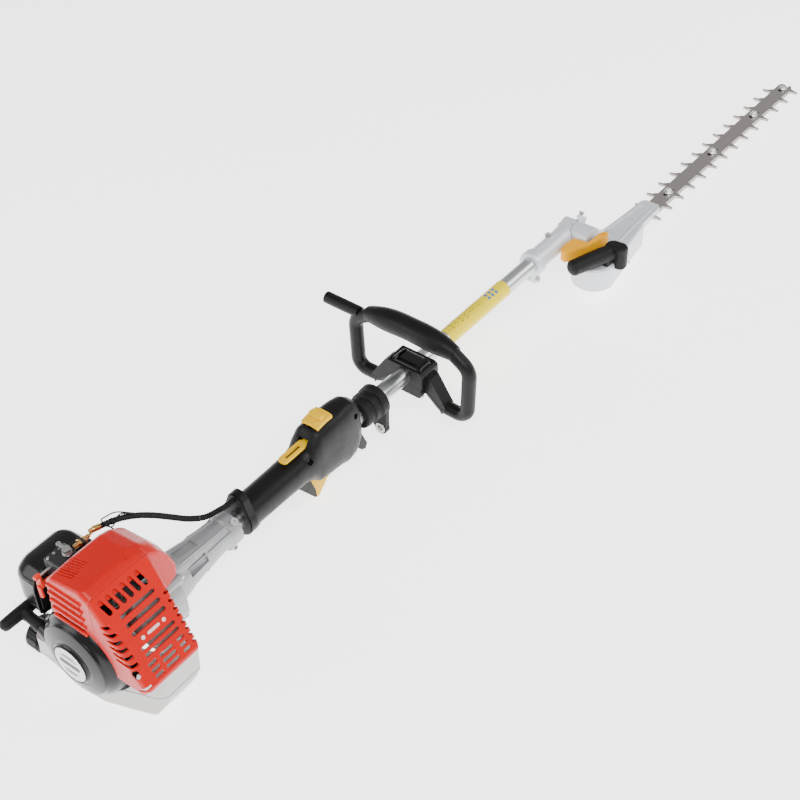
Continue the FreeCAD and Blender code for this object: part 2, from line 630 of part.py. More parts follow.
def build_crankcase():
    radius = float(D.crankcase_radius)
    mid = float(D.crank_x)
    front = float(D.fan_back)
    back = float(D.starter_front)
    crank = float(D.crank_radius)
    barrel = Part.makeCylinder(radius, front - back - 3, Vector(back + 3, 0, 0), AXIS_X)
    plate = Part.makeCylinder(float(D.starter_radius) - 1, 3, Vector(back, 0, 0), AXIS_X)
    deck = Part.makeBox(42, 44, 28, Vector(mid - 21, -22, float(D.fin_bottom) - 30))
    rooms = [
        Part.makeCylinder(26, 28, Vector(mid - 14, 0, 0), AXIS_X),
        Part.makeCylinder(crank + 0.05, 80, Vector(back - 5, 0, 0), AXIS_X),
        Part.makeCylinder(float(D.cylinder_bore) + 1, 40, Vector(mid, 0, 10), AXIS_Z),
    ]
    trim = Part.makeBox(80, 120, 40, Vector(back - 5, -60, float(D.fin_bottom) - 2))
    feature(barrel.multiFuse([plate, deck]).cut(rooms + [trim]).removeSplitter(), "crankcase")

    webs = [Part.makeCylinder(23, 6, Vector(mid + side, 0, 0), AXIS_X) for side in (-12, 6)]
    pin = Part.makeCylinder(5, 20, Vector(mid - 10, 0, 14), AXIS_X).fuse(
        Part.makeCylinder(7, 7, Vector(mid - 3.5, 0, 14), AXIS_X))
    shaft = Part.makeCylinder(crank, mid - 10 - back + 22, Vector(back - 22, 0, 0), AXIS_X)
    nose = Part.makeCylinder(crank, front + 48 - mid - 8, Vector(mid + 8, 0, 0), AXIS_X)
    dog = Part.makeCylinder(10, 5, Vector(back - 22, 0, 0), AXIS_X)
    feature(shaft.multiFuse(webs + [pin, nose, dog]).removeSplitter(), "crankshaft")

    bore = float(D.cylinder_bore)
    low = float(D.fin_bottom)
    top = low + 50
    sleeve = Part.makeCylinder(bore + 4, top - low + 2, Vector(mid, 0, low - 2), AXIS_Z)
    fins = []
    half, along = float(D.fin_half), float(D.fin_along)
    for n in range(int(float(D.fin_count))):
        z = low + 2 + float(D.fin_pitch) * n
        fins.append(Part.makeBox(2 * along, 2 * half, float(D.fin_thick), Vector(mid - along, -half, z)))
    ports = [Part.makeBox(20, 12, 24, Vector(mid - 10, side, low + 14)) for side in (half - 11.5, -half - 0.5)]
    head = Part.makeCylinder(9, 4, Vector(mid, 0, top - 1), AXIS_Z)
    block_shape = sleeve.multiFuse(fins + ports + [head])
    block_shape = block_shape.cut([
        Part.makeCylinder(bore, top - low - 4, Vector(mid, 0, low - 3), AXIS_Z),
        Part.makeCylinder(5, 30, Vector(mid, 0, top - 12), AXIS_Z),
        Part.makeCylinder(6, 80, Vector(mid, -half - 2, low + 26), AXIS_Y),
    ])
    feature(block_shape.removeSplitter(), "cylinder")
    crown = 30
    piston = Part.makeCylinder(bore - 0.1, 24, Vector(mid, 0, low + crown - 24), AXIS_Z)
    piston = piston.cut([Part.makeCylinder(bore - 3, 20, Vector(mid, 0, low + crown - 25), AXIS_Z),
                         Part.makeCylinder(4, 60, Vector(mid, -30, low + crown - 14), AXIS_Y)])
    wrist_pin = Part.makeCylinder(4, 2 * bore - 4, Vector(mid, 2 - bore, low + crown - 14), AXIS_Y)
    small, rod_end = low + crown - 14, 21.4
    rod_shape = Part.makeBox(5, 9, small - rod_end, Vector(mid - 2.5, -4.5, rod_end))
    small_eye = Part.makeCylinder(6.5, 9, Vector(mid, -4.5, small), AXIS_Y)
    rod_shape = rod_shape.fuse(small_eye)
    feature(piston.multiFuse([wrist_pin, rod_shape]).removeSplitter(), "piston_and_rod")
    plug = Part.makeCylinder(4.9, 11, Vector(mid, 0, top - 9), AXIS_Z)
    plug = plug.multiFuse([hex_head((mid, 0, top + 3), (0, 0, 1), 13, 5),
                           Part.makeCylinder(4.4, 9, Vector(mid, 0, top + 8), AXIS_Z),
                           Part.makeCylinder(4.9, 3, Vector(mid, 0, top), AXIS_Z)])
    feature(plug.removeSplitter(), "spark_plug")
    cap = Part.makeCylinder(8, 12, Vector(mid, 0, top + 9), AXIS_Z)
    cap = cap.fuse(Part.makeCylinder(5, 12, Vector(mid, 0, top + 15), AXIS_X))
    cap = cap.cut(Part.makeCylinder(4.5, 9, Vector(mid, 0, top + 8.5), AXIS_Z))
    coil_top = Vector(front + 14, 0, float(D.flywheel_radius) + 27)
    lead = [coil_top, coil_top + Vector(0, 0, 16), Vector(mid + 21, 0, top + 15), Vector(mid + 12, 0, top + 15)]
    lead = tube_along(lead, 2.5, name="ignition lead")
    feature(cap.fuse(lead).removeSplitter(), "plug_cap_and_lead")


def build_starter():
    back, front = D.starter_back, D.starter_front
    radius, wall = D.starter_radius, D.starter_wall
    drum = turned([
        (back - 4, 0), (back - 4, 28), (back, 32), (back + 1, 46), (back + 6, 54), (back + 14, radius - 1.5),
        (back + 24, radius), (front, radius), (front, radius - wall), (back + 25, radius - wall),
        (back + 16, radius - wall - 1.5), (back + 9, 52), (back + 4, 45), (back + 3, 8), (back + 24, 8),
        (back + 24, 0),
    ], "drum")
    angle = math.radians(float(D.rope_angle))
    way = Vector(0, math.cos(angle), math.sin(angle))
    touch = Vector(float(back) + 17, math.sin(angle) * float(D.rope_line), -math.cos(angle) * float(D.rope_line))
    guide = Part.makeCone(12.5, 9.5, 20, touch + way * 50, way)
    room = Part.makeCylinder(float(radius) - float(wall), 60, Vector(float(back) + 16, 0, 0), AXIS_X)
    guide = guide.cut(room)
    bore = Part.makeCylinder(3.2, 60, touch + way * 20, way)
    doc.recompute()
    shell = drum.Shape.multiFuse([guide]).cut(bore)
    vents = []
    for n in range(10):
        vent = Part.makeBox(14, 5, 40, Vector(float(front) - 22, -2.5, 40))
        vent.rotate(Vector(), AXIS_X, 100 + 16 * n)
        vents.append(vent)
    foot = Part.makeBox(40, 64, 10, Vector(float(front) - 40, -32, -float(radius) - 2))
    above_tank = Part.makeCylinder(float(D.tank_saddle) - 0.6, 60, Vector(float(front) - 50, 0, 0), AXIS_X)
    foot = foot.cut(room).common(above_tank)
    shell = shell.fuse(foot).cut(vents).removeSplitter()
    feature(shell, "starter_housing")

    plane = float(back) + 17
    groove = float(D.rope_line) - 2
    pulley = Part.makeCylinder(float(D.pulley_radius), 8, Vector(plane - 4, 0, 0), AXIS_X)
    channel = Part.makeCylinder(60, 5, Vector(plane - 2.5, 0, 0), AXIS_X).cut(
        Part.makeCylinder(groove, 5, Vector(plane - 2.5, 0, 0), AXIS_X))
    pulley = pulley.cut([channel, Part.makeCylinder(8.05, 30, Vector(plane - 15, 0, 0), AXIS_X)])
    feature(pulley.removeSplitter(), "starter_pulley")

    stem_start = touch + way * 70.3
    stem = Part.makeCone(9, 7.5, 22, stem_start, way)
    grip_centre = stem_start + way * 34
    bar = Part.makeCylinder(8.5, 52, grip_centre - AXIS_X * 26, AXIS_X)
    ends = [Part.makeSphere(8.5, grip_centre + AXIS_X * side) for side in (-26, 26)]
    web = Part.makeCone(8, 11, 16, stem_start + way * 16, way)
    handle = stem.multiFuse([bar, web] + ends)
    handle = handle.cut(Part.makeCylinder(2.05, 60, stem_start - way * 20, way))
    feature(handle.removeSplitter(), "starter_handle")
    rope_start = touch + way * 14
    feature(Part.makeCylinder(float(D.rope_radius), 78, rope_start, way), "starter_rope")


def tank_block(inset):
    """The tank's outer form, or its inside when inset is the wall: where three outlines meet, under a saddle."""
    right, left = float(D.tank_right) + inset, float(D.tank_left) - inset
    top, bottom = float(D.tank_top) - inset, float(D.tank_bottom) + inset
    back, front = float(D.tank_back) + inset, float(D.tank_front) - inset
    across = prism([(right, top), (right, bottom + 26), (right + 13, bottom), (left - 22, bottom),
                    (left, bottom + 26), (left, top)], "x", back, front)
    round_edges = [e for e in across.Edges if runs_along(AXIS_X)(e) and e.Vertexes[0].Z < top - 2]
    across = across.makeFillet(float(D.tank_round) - inset, round_edges)
    side = prism([(back, top), (back, bottom + 13), (back + 10, bottom), (back + 58, bottom),
                  (front - 22, bottom + 14), (front - 2, bottom + 40), (front, top)], "y", right, left)
    round_edges = [e for e in side.Edges if runs_along(AXIS_Y)(e) and e.Vertexes[0].Z < top - 2]
    side = side.makeFillet(7, round_edges)
    plan = prism([(front, right), (back + 42, right), (back + 34, right + 9), (back + 3, right + 100),
                  (back, left), (front, left)], "z", bottom, top)
    round_edges = [e for e in plan.Edges if runs_along(AXIS_Z)(e)]
    plan = plan.makeFillet(8, round_edges)
    saddle = Part.makeCylinder(float(D.tank_saddle) + inset, 300, Vector(back - 50, 0, 0), AXIS_X)
    rope_room = Part.makeBox(30 + inset, 60, 20, Vector(back - inset - 8, 55 - inset, -24 - inset))
    form = across.common(side).common(plan)
    return form.cut([saddle, rope_room, undercut(inset)])


def undercut(inset):
    """Everything below the slope that clears the starter's rear left corner."""
    spots = [Vector(-602, 85, -49), Vector(-566, 85, -77), Vector(-598, 6, -74)]
    down = (spots[1] - spots[0]).normalize()
    out = (spots[1] - spots[0]).cross(spots[2] - spots[0]).normalize()
    side = out.cross(down)
    base = spots[0] - out * inset
    reach = 200
    corners = [base + down * a * reach + side * b * reach for a, b in ((1, 1), (-1, 1), (-1, -1), (1, -1))]
    return Part.Face(Part.makePolygon(corners + corners[:1])).extrude(out * 100)


def build_tank():
    outer = tank_block(0)
    inner = tank_block(float(D.tank_wall))
    left = float(D.tank_left)
    x, z, radius = float(D.cap_x), float(D.cap_z), float(D.cap_radius)
    neck = Part.makeCylinder(radius - 5.5, 24, Vector(x, left - 12, z), AXIS_Y)
    mouth = Part.makeCylinder(radius - 8.5, 50, Vector(x, left - 22, z), AXIS_Y)
    feature(outer.cut(inner).fuse(neck).cut(mouth), "fuel_tank")
    cap = Part.makeCylinder(radius, 19, Vector(x, left + 3, z), AXIS_Y)
    cap = cap.makeFillet(2.5, [e for e in cap.Edges if e.CenterOfMass.y > left + 15 and len(e.Vertexes) == 1])
    cap = cap.cut(Part.makeCylinder(radius - 5.2, 11, Vector(x, left + 2, z), AXIS_Y))
    notches = []
    for n in range(14):
        notch = Part.makeCylinder(1.6, 30, Vector(x + radius + 0.6, left - 3, z), AXIS_Y)
        notch.rotate(Vector(x, 0, z), AXIS_Y, 360 * n / 14)
        notches.append(notch)
    feature(cap.cut(notches).removeSplitter(), "fuel_cap")


# The covers over the engine


def top_form(inset):
    """The top cover's outer form, or its inside when inset is the wall."""
    left = float(D.cowl_left) - inset
    seam = float(D.cowl_seam)
    low = 6 - inset * 3
    sections = []
    for x, shoulder, top, right_top in (
        (float(D.cowl_back) + inset, 107, 118, 126),
        (-560, 110, 122, 129),
        (-520, 109, 121, 127),
        (-505, 105, 118, 122),
        (-488, 96, 109, 112),
        (float(D.cowl_front) - inset, 60, 70, 72),
    ):
        shoulder, top, right_top = shoulder - inset, top - inset, right_top - inset
        corners = [Vector(x, left, low), Vector(x, left, shoulder), Vector(x, left - 9, top),
                   Vector(x, seam + 12, right_top), Vector(x, seam - 10, right_top - 8), Vector(x, seam - 10, low)]
        sections.append(Part.makePolygon(corners + corners[:1]))
    front = float(D.cowl_front) - inset
    bevel = prism([(front, -8), (front - 22, -50), (front + 30, -50), (front + 30, -8)], "z", low - 5, 200)
    return Part.makeLoft(sections, True, True).cut(bevel)


def side_form(inset):
    """The muffler cover's outer form: a prism leaning out from the seam, drawn in at its front foot."""
    seam, out, low = float(D.cowl_seam), float(D.grille_out) + inset, float(D.grille_low)
    back, front = float(D.cowl_back) + inset, float(D.grille_front) - inset
    rise = 121 - inset * 1.2
    inner = seam + 14 * (inset > 0)
    form = prism([(inner, rise), (out, low + 4), (out + 5, low - 8 - inset * 3), (inner, low - 8 - inset * 3)],
                 "x", back, front)
    foot = prism([(front, 55), (front + 20, 55), (front + 20, -30), (front - 14, -30)], "y", -200, 60)
    return form.cut(foot)


def slot_cutter(length, height, depth, centre, rotation):
    """A round-ended slot's cutter: length along its own X, height along Y, depth along Z."""
    middle = Part.makeBox(length - height, height, depth, Vector(-(length - height) / 2, -height / 2, -depth / 2))
    ends = [Part.makeCylinder(height / 2, depth, Vector(side * (length - height) / 2, 0, -depth / 2))
            for side in (-1, 1)]
    slot = middle.multiFuse(ends)
    slot.Placement = FreeCAD.Placement(Vector(*centre), rotation)
    return slot


def grille_point(along, down):
    """A point on the leaning side: along X, and down from its top edge."""
    top = Vector(0, float(D.cowl_seam), 121)
    bottom = Vector(0, float(D.grille_out), float(D.grille_low) + 4)
    way = (bottom - top).normalize()
    return Vector(along, 0, 0) + top + way * down, way


def build_covers():
    wall = float(D.cowl_wall)
    seam = float(D.cowl_seam)
    drum = Part.makeCylinder(float(D.starter_radius) + 2.5, 120, Vector(float(D.starter_back) - 40, 0, 0), AXIS_X)
    casting = Part.makeCylinder(float(D.lug_circle) + 9.5, 60, Vector(float(D.fan_back) - 4, 0, 0), AXIS_X)
    right_side = Part.makeBox(400, 200, 400, Vector(-700, seam - 200, -100))
    shell = top_form(0).cut([top_form(wall), right_side, drum, casting])
    solids = sorted(shell.Solids, key=lambda s: s.Volume)
    shell = solids[-1]
    back = float(D.cowl_back)
    ribs = [Part.makeBox(3, 44, 2.6, Vector(back - 1, -12, 70 + 8 * n)) for n in range(5)]
    vents = [Part.makeBox(26, 12, 2.4, Vector(-565 + 5 * n, 30, 84 + 6 * n)) for n in range(3)]
    intake = [Part.makeBox(26, 20, 30, Vector(float(D.crank_x) - 13, 25, 51)),
              Part.makeBox(34, 20, 34, Vector(float(D.carb_x) - 16, 25, 62))]
    shell = shell.multiFuse(ribs).cut(vents + intake).removeSplitter()
    feature(shell, "cylinder_cover")

    side = side_form(0).cut(side_form(wall))
    keep = Part.makeBox(400, 200, 400, Vector(-700, seam - 200.2, -100))
    side = side.common(keep)
    _, way = grille_point(0, 0)
    lean = FreeCAD.Rotation(AXIS_X, way, AXIS_X.cross(way), "XYZ")
    cutters = []
    for n in range(5):
        spot, _ = grille_point(-585 + 18 * n, 20)
        cutters.append(slot_cutter(22, 7.5, 30, spot, lean.multiply(FreeCAD.Rotation(AXIS_Z, 90))))
    rows = ((42, 62, 6), (53, 70, 6), (64, 74, 6), (84, 82, 5), (95, 84, 5), (105, 84, 4.5), (114, 84, 4.5))
    for down, length, height in rows:
        middle, _ = grille_point(-548, down)
        cutters.append(slot_cutter(length, height, 30, middle, lean))
    for n in range(6):
        spot, _ = grille_point(back, 42 + 13 * n)
        spot = Vector(back, spot.y + 17, spot.z)
        cutters.append(slot_cutter(16, 5, 14, spot, FreeCAD.Rotation(AXIS_Y, AXIS_Z, AXIS_X, "XYZ")))
    side = side.cut(cutters + [drum, casting])
    side = sorted(side.Solids, key=lambda s: s.Volume)[-1]
    feature(side.removeSplitter(), "muffler_cover")
    muffler = prism([(-36, 34), (-36, 82), (-51, 82), (-93, 28), (-90, 22), (-64, 22)], "x", -554, -516)
    muffler = muffler.makeFillet(5, muffler.Edges)
    neck = Part.makeBox(20, 12, 20, Vector(float(D.crank_x) - 10, -38, float(D.fin_bottom) + 16))
    neck = neck.common(Part.makeBox(40, 40, 40, Vector(float(D.crank_x) - 20, -66.6, float(D.fin_bottom) + 10)))
    outlet = Part.makeCylinder(4, 10, Vector(-520, -62, 50), AXIS_X)
    feature(muffler.multiFuse([neck, outlet]).removeSplitter(), "muffler")


# The carburettor side


def build_carburettor():
    x, z = float(D.carb_x), float(D.carb_z)
    half = float(D.fin_half)
    mid = float(D.crank_x)
    port = Vector(mid, half + 0.6, float(D.fin_bottom) + 26)
    flange = Part.makeBox(22, 8, 26, port - Vector(11, 0, 13))
    neck = Part.makeBox(30, 5.5, 30, Vector(x - 14, half + 8.4, z - 20))
    way = Vector(x, half + 14, z - 4) - port
    bore = Part.makeCylinder(6, 40, port - way * 0.5, way)
    feature(flange.fuse(neck).cut(bore).removeSplitter(), "intake_block")
    start = half + 14.3
    end = float(D.filter_in) - 3
    body = Part.makeBox(32, end - start, 30, Vector(x - 16, start, z - 16))
    body = body.makeFillet(3, [e for e in body.Edges if runs_along(AXIS_Y)(e)])
    pump = Part.makeBox(28, 20, 8, Vector(x - 14, start + 3, z - 23))
    tower = Part.makeCylinder(5, 6, Vector(x + 6, start + 12, z + 13.5), AXIS_Z)
    bracket = Part.makeBox(14, 3, 7, Vector(x + 14, start + 12, z + 2)).fuse(
        Part.makeBox(3, 14, 18, Vector(x + 27, start + 4, z + 2)))
    hole = Part.makeCylinder(3.1, 18, Vector(x + 15.9, start + 12, z + 15), AXIS_X)
    throat = Part.makeCylinder(6.5, 80, Vector(x, 0, z - 4), AXIS_Y)
    pocket = Part.makeCylinder(8.9, 4.4, Vector(x, start + 13, z - 23.1), AXIS_Z)
    shape = body.multiFuse([pump, tower, bracket]).cut([throat, hole, pocket])
    feature(shape.removeSplitter(), "carburettor")
    arm = Part.makeCylinder(5, 3, Vector(x + 6, start + 12, z + 20), AXIS_Z).fuse(
        Part.makeBox(4, 16, 3, Vector(x + 4, start + 10, z + 20)))
    arm = arm.fuse(Part.makeCylinder(3, 3, Vector(x + 6, start + 25, z + 20), AXIS_Z))
    feature(arm.removeSplitter(), "throttle_arm")
    lever = Part.makeCylinder(6, 4, Vector(x - 34, start + 22, z - 12), AXIS_X)
    lever = lever.multiFuse([
        Part.makeBox(4, 7, 22, Vector(x - 34, start + 18.5, z - 18)),
        Part.makeBox(9, 7, 5, Vector(x - 39, start + 18.5, z + 2)),
        Part.makeCylinder(2, 18, Vector(x - 32, start + 22, z - 12), AXIS_X),
    ])
    lever = lever.cut(Part.makeBox(40, 40, 40, Vector(x - 16.2, start, z - 30)))
    feature(lever.removeSplitter(), "choke_lever")
    bulb = Part.makeSphere(8.5, Vector(x, start + 13, z - 24.5))
    bulb = bulb.common(Part.makeBox(40, 40, 20, Vector(x - 20, start - 6, z - 43.4)))
    feature(bulb, "primer_bulb")
    back, front = float(D.filter_back), float(D.filter_front)
    low, high = float(D.filter_low), float(D.filter_high)
    inside, outside = float(D.filter_in), float(D.filter_out)

    def rounded_box(gap, y_from, y_to, corner):
        box = Part.makeBox(front - back - 2 * gap, y_to - y_from, high - low - 2 * gap,
                           Vector(back + gap, y_from, low + gap))
        return box.makeFillet(corner, [e for e in box.Edges if runs_along(AXIS_Y)(e)])
    stud = Part.makeCylinder(3.2, 60, Vector((back + front) / 2, inside - 10, (low + high) / 2), AXIS_Y)
    base = rounded_box(3, inside - 3, inside - 0.2, 12).cut([throat, stud])
    feature(base, "air_filter_base")
    foam = rounded_box(6, inside, inside + 20, 10)
    feature(foam.cut(stud), "air_filter_foam")
    cover = rounded_box(0, inside, outside, 17)
    rim = [e for e in cover.Edges if e.CenterOfMass.y > outside - 0.5]
    cover = cover.makeFillet(11, rim)
    hollow = rounded_box(2.4, inside - 1, outside - 2.6, 15)
    rim = [e for e in hollow.Edges if e.CenterOfMass.y > outside - 3]
    hollow = hollow.makeFillet(9, rim)
    feature(cover.cut([hollow, stud]).removeSplitter(), "air_cleaner_cover")
    centre = Vector((back + front) / 2, outside + 0.3, (low + high) / 2)
    knob = Part.makeCylinder(9, 8, centre, AXIS_Y)
    wings = Part.makeBox(30, 8, 5, centre + Vector(-15, 0, -2.5))
    stem = Part.makeCylinder(3, 42, centre - AXIS_Y * 42, AXIS_Y)
    feature(knob.multiFuse([wings, stem]).removeSplitter(), "air_cleaner_knob")


# The rear grip and its controls


def grip_skin(grow):
    """The grip's outer form, grown evenly."""
    sections = [
        (-318, 1, 21.5, 23, 0.08), (-250, 1, 22, 23.4, 0.08), (-214, 1, 22.5, 24, 0.1), (-203, 1.5, 23.5, 27, 0.15),
        (-194, 5, 24.6, 36, 0.2), (-184, 5, 25.6, 45, 0.24), (-160, 5, 26, 47.5, 0.25), (-144, 4, 26, 48, 0.25),
        (-126, 1, 25, 51, 0.24), (-110, 1, 23.5, 49, 0.2), (-99, 1, 19, 41, 0.16),
    ]
    return skin([(x, (0, up), wide + grow, tall + grow, square) for x, up, wide, tall, square in eased(sections, 3)],
                ruled=True)


def trigger_outline():
    return [(-192, -40), (-185, -71), (-182, -76), (-177, -76), (-159, -58), (-136, -46), (-131, -38),
            (-131, -28), (-145, -25.5), (-188, -33)]


def build_grip():
    tube = float(D.tube_radius)
    back = float(D.grip_back)
    discs = []
    for inset, start, end in ((0, back + 2, back + 13), (1.5, back, back + 2)):
        discs += [Part.makeCylinder(25 - inset, end - start, Vector(start, 0, 0), AXIS_X),
                  Part.makeCylinder(14 - inset, end - start, Vector(start, 0, 30), AXIS_X),
                  prism([(inset - 23, 8), (23 - inset, 8), (13.4 - inset, 34), (inset - 13.4, 34)], "x", start, end)]
    flange = discs[0].multiFuse(discs[1:]).removeSplitter()
    spur = prism([(-236, -16), (-219, -30), (-189, -69), (-185, -71), (-187, -56), (-195, -34), (-190, -16)],
                 "y", -8, 8)
    hook = prism([(-110, 10), (-98, 16), (-90, -20), (-75, -54), (-79, -62), (-88, -58), (-96, -46), (-110, -50)],
                 "y", -8, 8)
    form = grip_skin(0).multiFuse([flange, spur, hook])
    cavity = Part.makeBox(76, 11, 74, Vector(-200, -5.5, -91))
    arch = Part.makeCylinder(3.6, 60, Vector(back - 5, 5, 31), AXIS_X)
    rooms = [
        Part.makeCylinder(tube, 400, Vector(-400, 0, 0), AXIS_X),
        cavity,
        arch,
        Part.makeBox(24, 11, 14, Vector(-202, -5.5, 25.5)),
        Part.makeBox(24, 15.8, 13, Vector(-213, -7.9, 27.6)),
        Part.makeCylinder(1.6, 20, Vector(-184, -10, 32), AXIS_Y),
        Part.makeBox(26, 8, 12, Vector(-182, -4, 47)),
        Part.makeCylinder(2.05, 34, Vector(-138, -17, -34), AXIS_Y),
    ]
    screws = ((-306, -18), (-206, 17), (-112, 30), (-108, -34))
    for x, z in screws:
        rooms.append(Part.makeCylinder(2.1, 60, Vector(x, -30, z), AXIS_Y))
        rooms.append(Part.makeCylinder(4.2, 40, Vector(x, -12, z), -AXIS_Y))
    form = form.cut(rooms)
    for side, label in ((1, "grip_left_shell"), (-1, "grip_right_shell")):
        half = Part.makeBox(400, 60, 300, Vector(-400, 0 if side > 0 else -60, -150))
        piece = sorted(form.common(half).Solids, key=lambda s: s.Volume)[-1]
        feature(piece, label)
    bolts = [socket_screw((x, -12, z), (0, -1, 0), 4, 3, 2, 24 if abs(z) > 18 else 26) for x, z in screws]
    fasteners.extend(bolts)
    bore = Part.makeCylinder(2.05, 20, Vector(-138, -10, -34), AXIS_Y)
    blade = prism(trigger_outline(), "y", -5, 5).cut(bore)
    feature(blade, "throttle_trigger")
    fasteners.append(Part.makeCylinder(2, 32, Vector(-138, -16, -34), AXIS_Y))
    plate = Part.makeBox(46, 14, 4, Vector(-240, -7, 30))
    plate = plate.makeFillet(5, [e for e in plate.Edges if runs_along(AXIS_Z)(e) and e.CenterOfMass.x < -230])
    neck = Part.makeBox(16, 9, 4, Vector(-197, -4.5, 30))
    slot = slot_cutter(30, 5, 20, (-217, 0, 32), FreeCAD.Rotation())
    knuckle = Part.makeCylinder(3.2, 9, Vector(-184, -4.5, 32), AXIS_Y)
    lever = plate.multiFuse([neck, knuckle]).cut([slot, Part.makeCylinder(1.55, 20, Vector(-184, -10, 32), AXIS_Y)])
    feature(lever.removeSplitter(), "lockout_lever")
    fasteners.append(Part.makeCylinder(1.5, 18, Vector(-184, -9, 32), AXIS_Y))
    cap = grip_skin(5.5).common(Part.makeBox(30, 28, 40, Vector(-180, -13, 42)))
    cap = cap.cut(grip_skin(0.8))
    cap = sorted(cap.Solids, key=lambda s: s.Volume)[-1]
    ridge = Part.makeBox(9, 20, 5, Vector(-170, -9, 58)).fuse(Part.makeBox(12, 6, 9, Vector(-174, -3, 50)))
    feature(cap.fuse(ridge).removeSplitter(), "stop_switch")


def build_cables():
    """The throttle cable's conduit from the grip's flange to the carburettor, and the two stop wires."""
    x, z = float(D.carb_x), float(D.carb_z)
    level = float(D.fin_half) + 14.3 + 12
    end = Vector(x + 40, level, z + 15)
    route = [(-318, 5, 31), (-337, 5, 31), (-351, 9.5, 29), (-368, 14, 29.5), (-390, 20, 41), (-411, 26, 58), (-433, 32, 76),
             (-456, 38, 91), (-479, 44, 100), (-500, 49, 103)]
    feature(tube_along(route, 3.5, name="throttle_cable"), "throttle_cable")
    way = (Vector(*route[-1]) - Vector(*route[-2])).normalize()
    start = Vector(*route[-1])
    thin = [start, start + way * 6, end + Vector(5, 0, 0.6), end]
    core = tube_along(thin, 1.6, name="inner cable")
    screw = Part.makeCylinder(2.8, 24, end - AXIS_X * 24, AXIS_X)
    nuts = [hex_head(end - AXIS_X * back, (1, 0, 0), 9, 3).cut(Part.makeCylinder(2.8, 40, end - AXIS_X * 30, AXIS_X))
            for back in (9.6, 16.4)]
    feature(screw.multiFuse(nuts + [core]).removeSplitter(), "cable_adjuster")


# The strap hanger


def build_hanger():
    back, front = D.hanger_back, D.hanger_front
    tube = D.tube_radius
    collar = turned([
        (back, tube), (back, 18), (back + 2, 21.5), (back + 9, 22.5), (back + 11, 20.5), (back + 16, 20.5),
        (back + 18, 23.5), (back + 24, 23.5), (back + 26, 21), (back + 30, 21), (back + 32, 24.5),
        (front - 1, 25), (front, 23.5), (front, tube),
    ], "collar")
    doc.recompute()
    tilt = math.radians(float(D.hanger_tilt))
    drop = float(D.eye_drop)
    way = Vector(0, -math.sin(tilt), -math.cos(tilt))
    across = Vector(0, math.cos(tilt), -math.sin(tilt))
    eye = way * drop + AXIS_X * (float(front) - 9)
    corners = [way * 8 + across * 22, way * drop + across * 10, way * drop - across * 10, way * 8 - across * 22]
    corners = [c + AXIS_X * (float(front) - 9) for c in corners]
    plate = Part.Face(Part.makePolygon(corners + corners[:1])).extrude(AXIS_X * 8)
    boss = Part.makeCylinder(10.5, 8, eye, AXIS_X)
    hole = Part.makeCylinder(float(D.eye_radius) + 1.8, 20, eye - AXIS_X * 5, AXIS_X)
    bore = Part.makeCylinder(float(tube), 80, Vector(float(back) - 5, 0, 0), AXIS_X)
    shape = collar.Shape.multiFuse([plate, boss]).cut([hole, bore]).removeSplitter()
    feature(shape, "hanger_collar")
    ring = Part.makeCylinder(float(D.eye_radius) + 1.8, 8, eye, AXIS_X)
    lips = [Part.makeCylinder(float(D.eye_radius) + 3.6, 1, eye + AXIS_X * step, AXIS_X) for step in (-1, 8)]
    ring = ring.multiFuse(lips).cut(Part.makeCylinder(float(D.eye_radius), 30, eye - AXIS_X * 10, AXIS_X))
    feature(ring.removeSplitter(), "strap_eyelet")


# The loop handle


def loop_points(side):
    half, top, low = float(D.loop_half), float(D.loop_top), float(D.loop_low)
    x = float(D.loop_x)
    spots = [(24, -13), (58, low + 1), (half - 2, low), (half + 1, top - 26), (66, top - 5), (0, top)]
    return [(x, side * y, z) for y, z in spots]


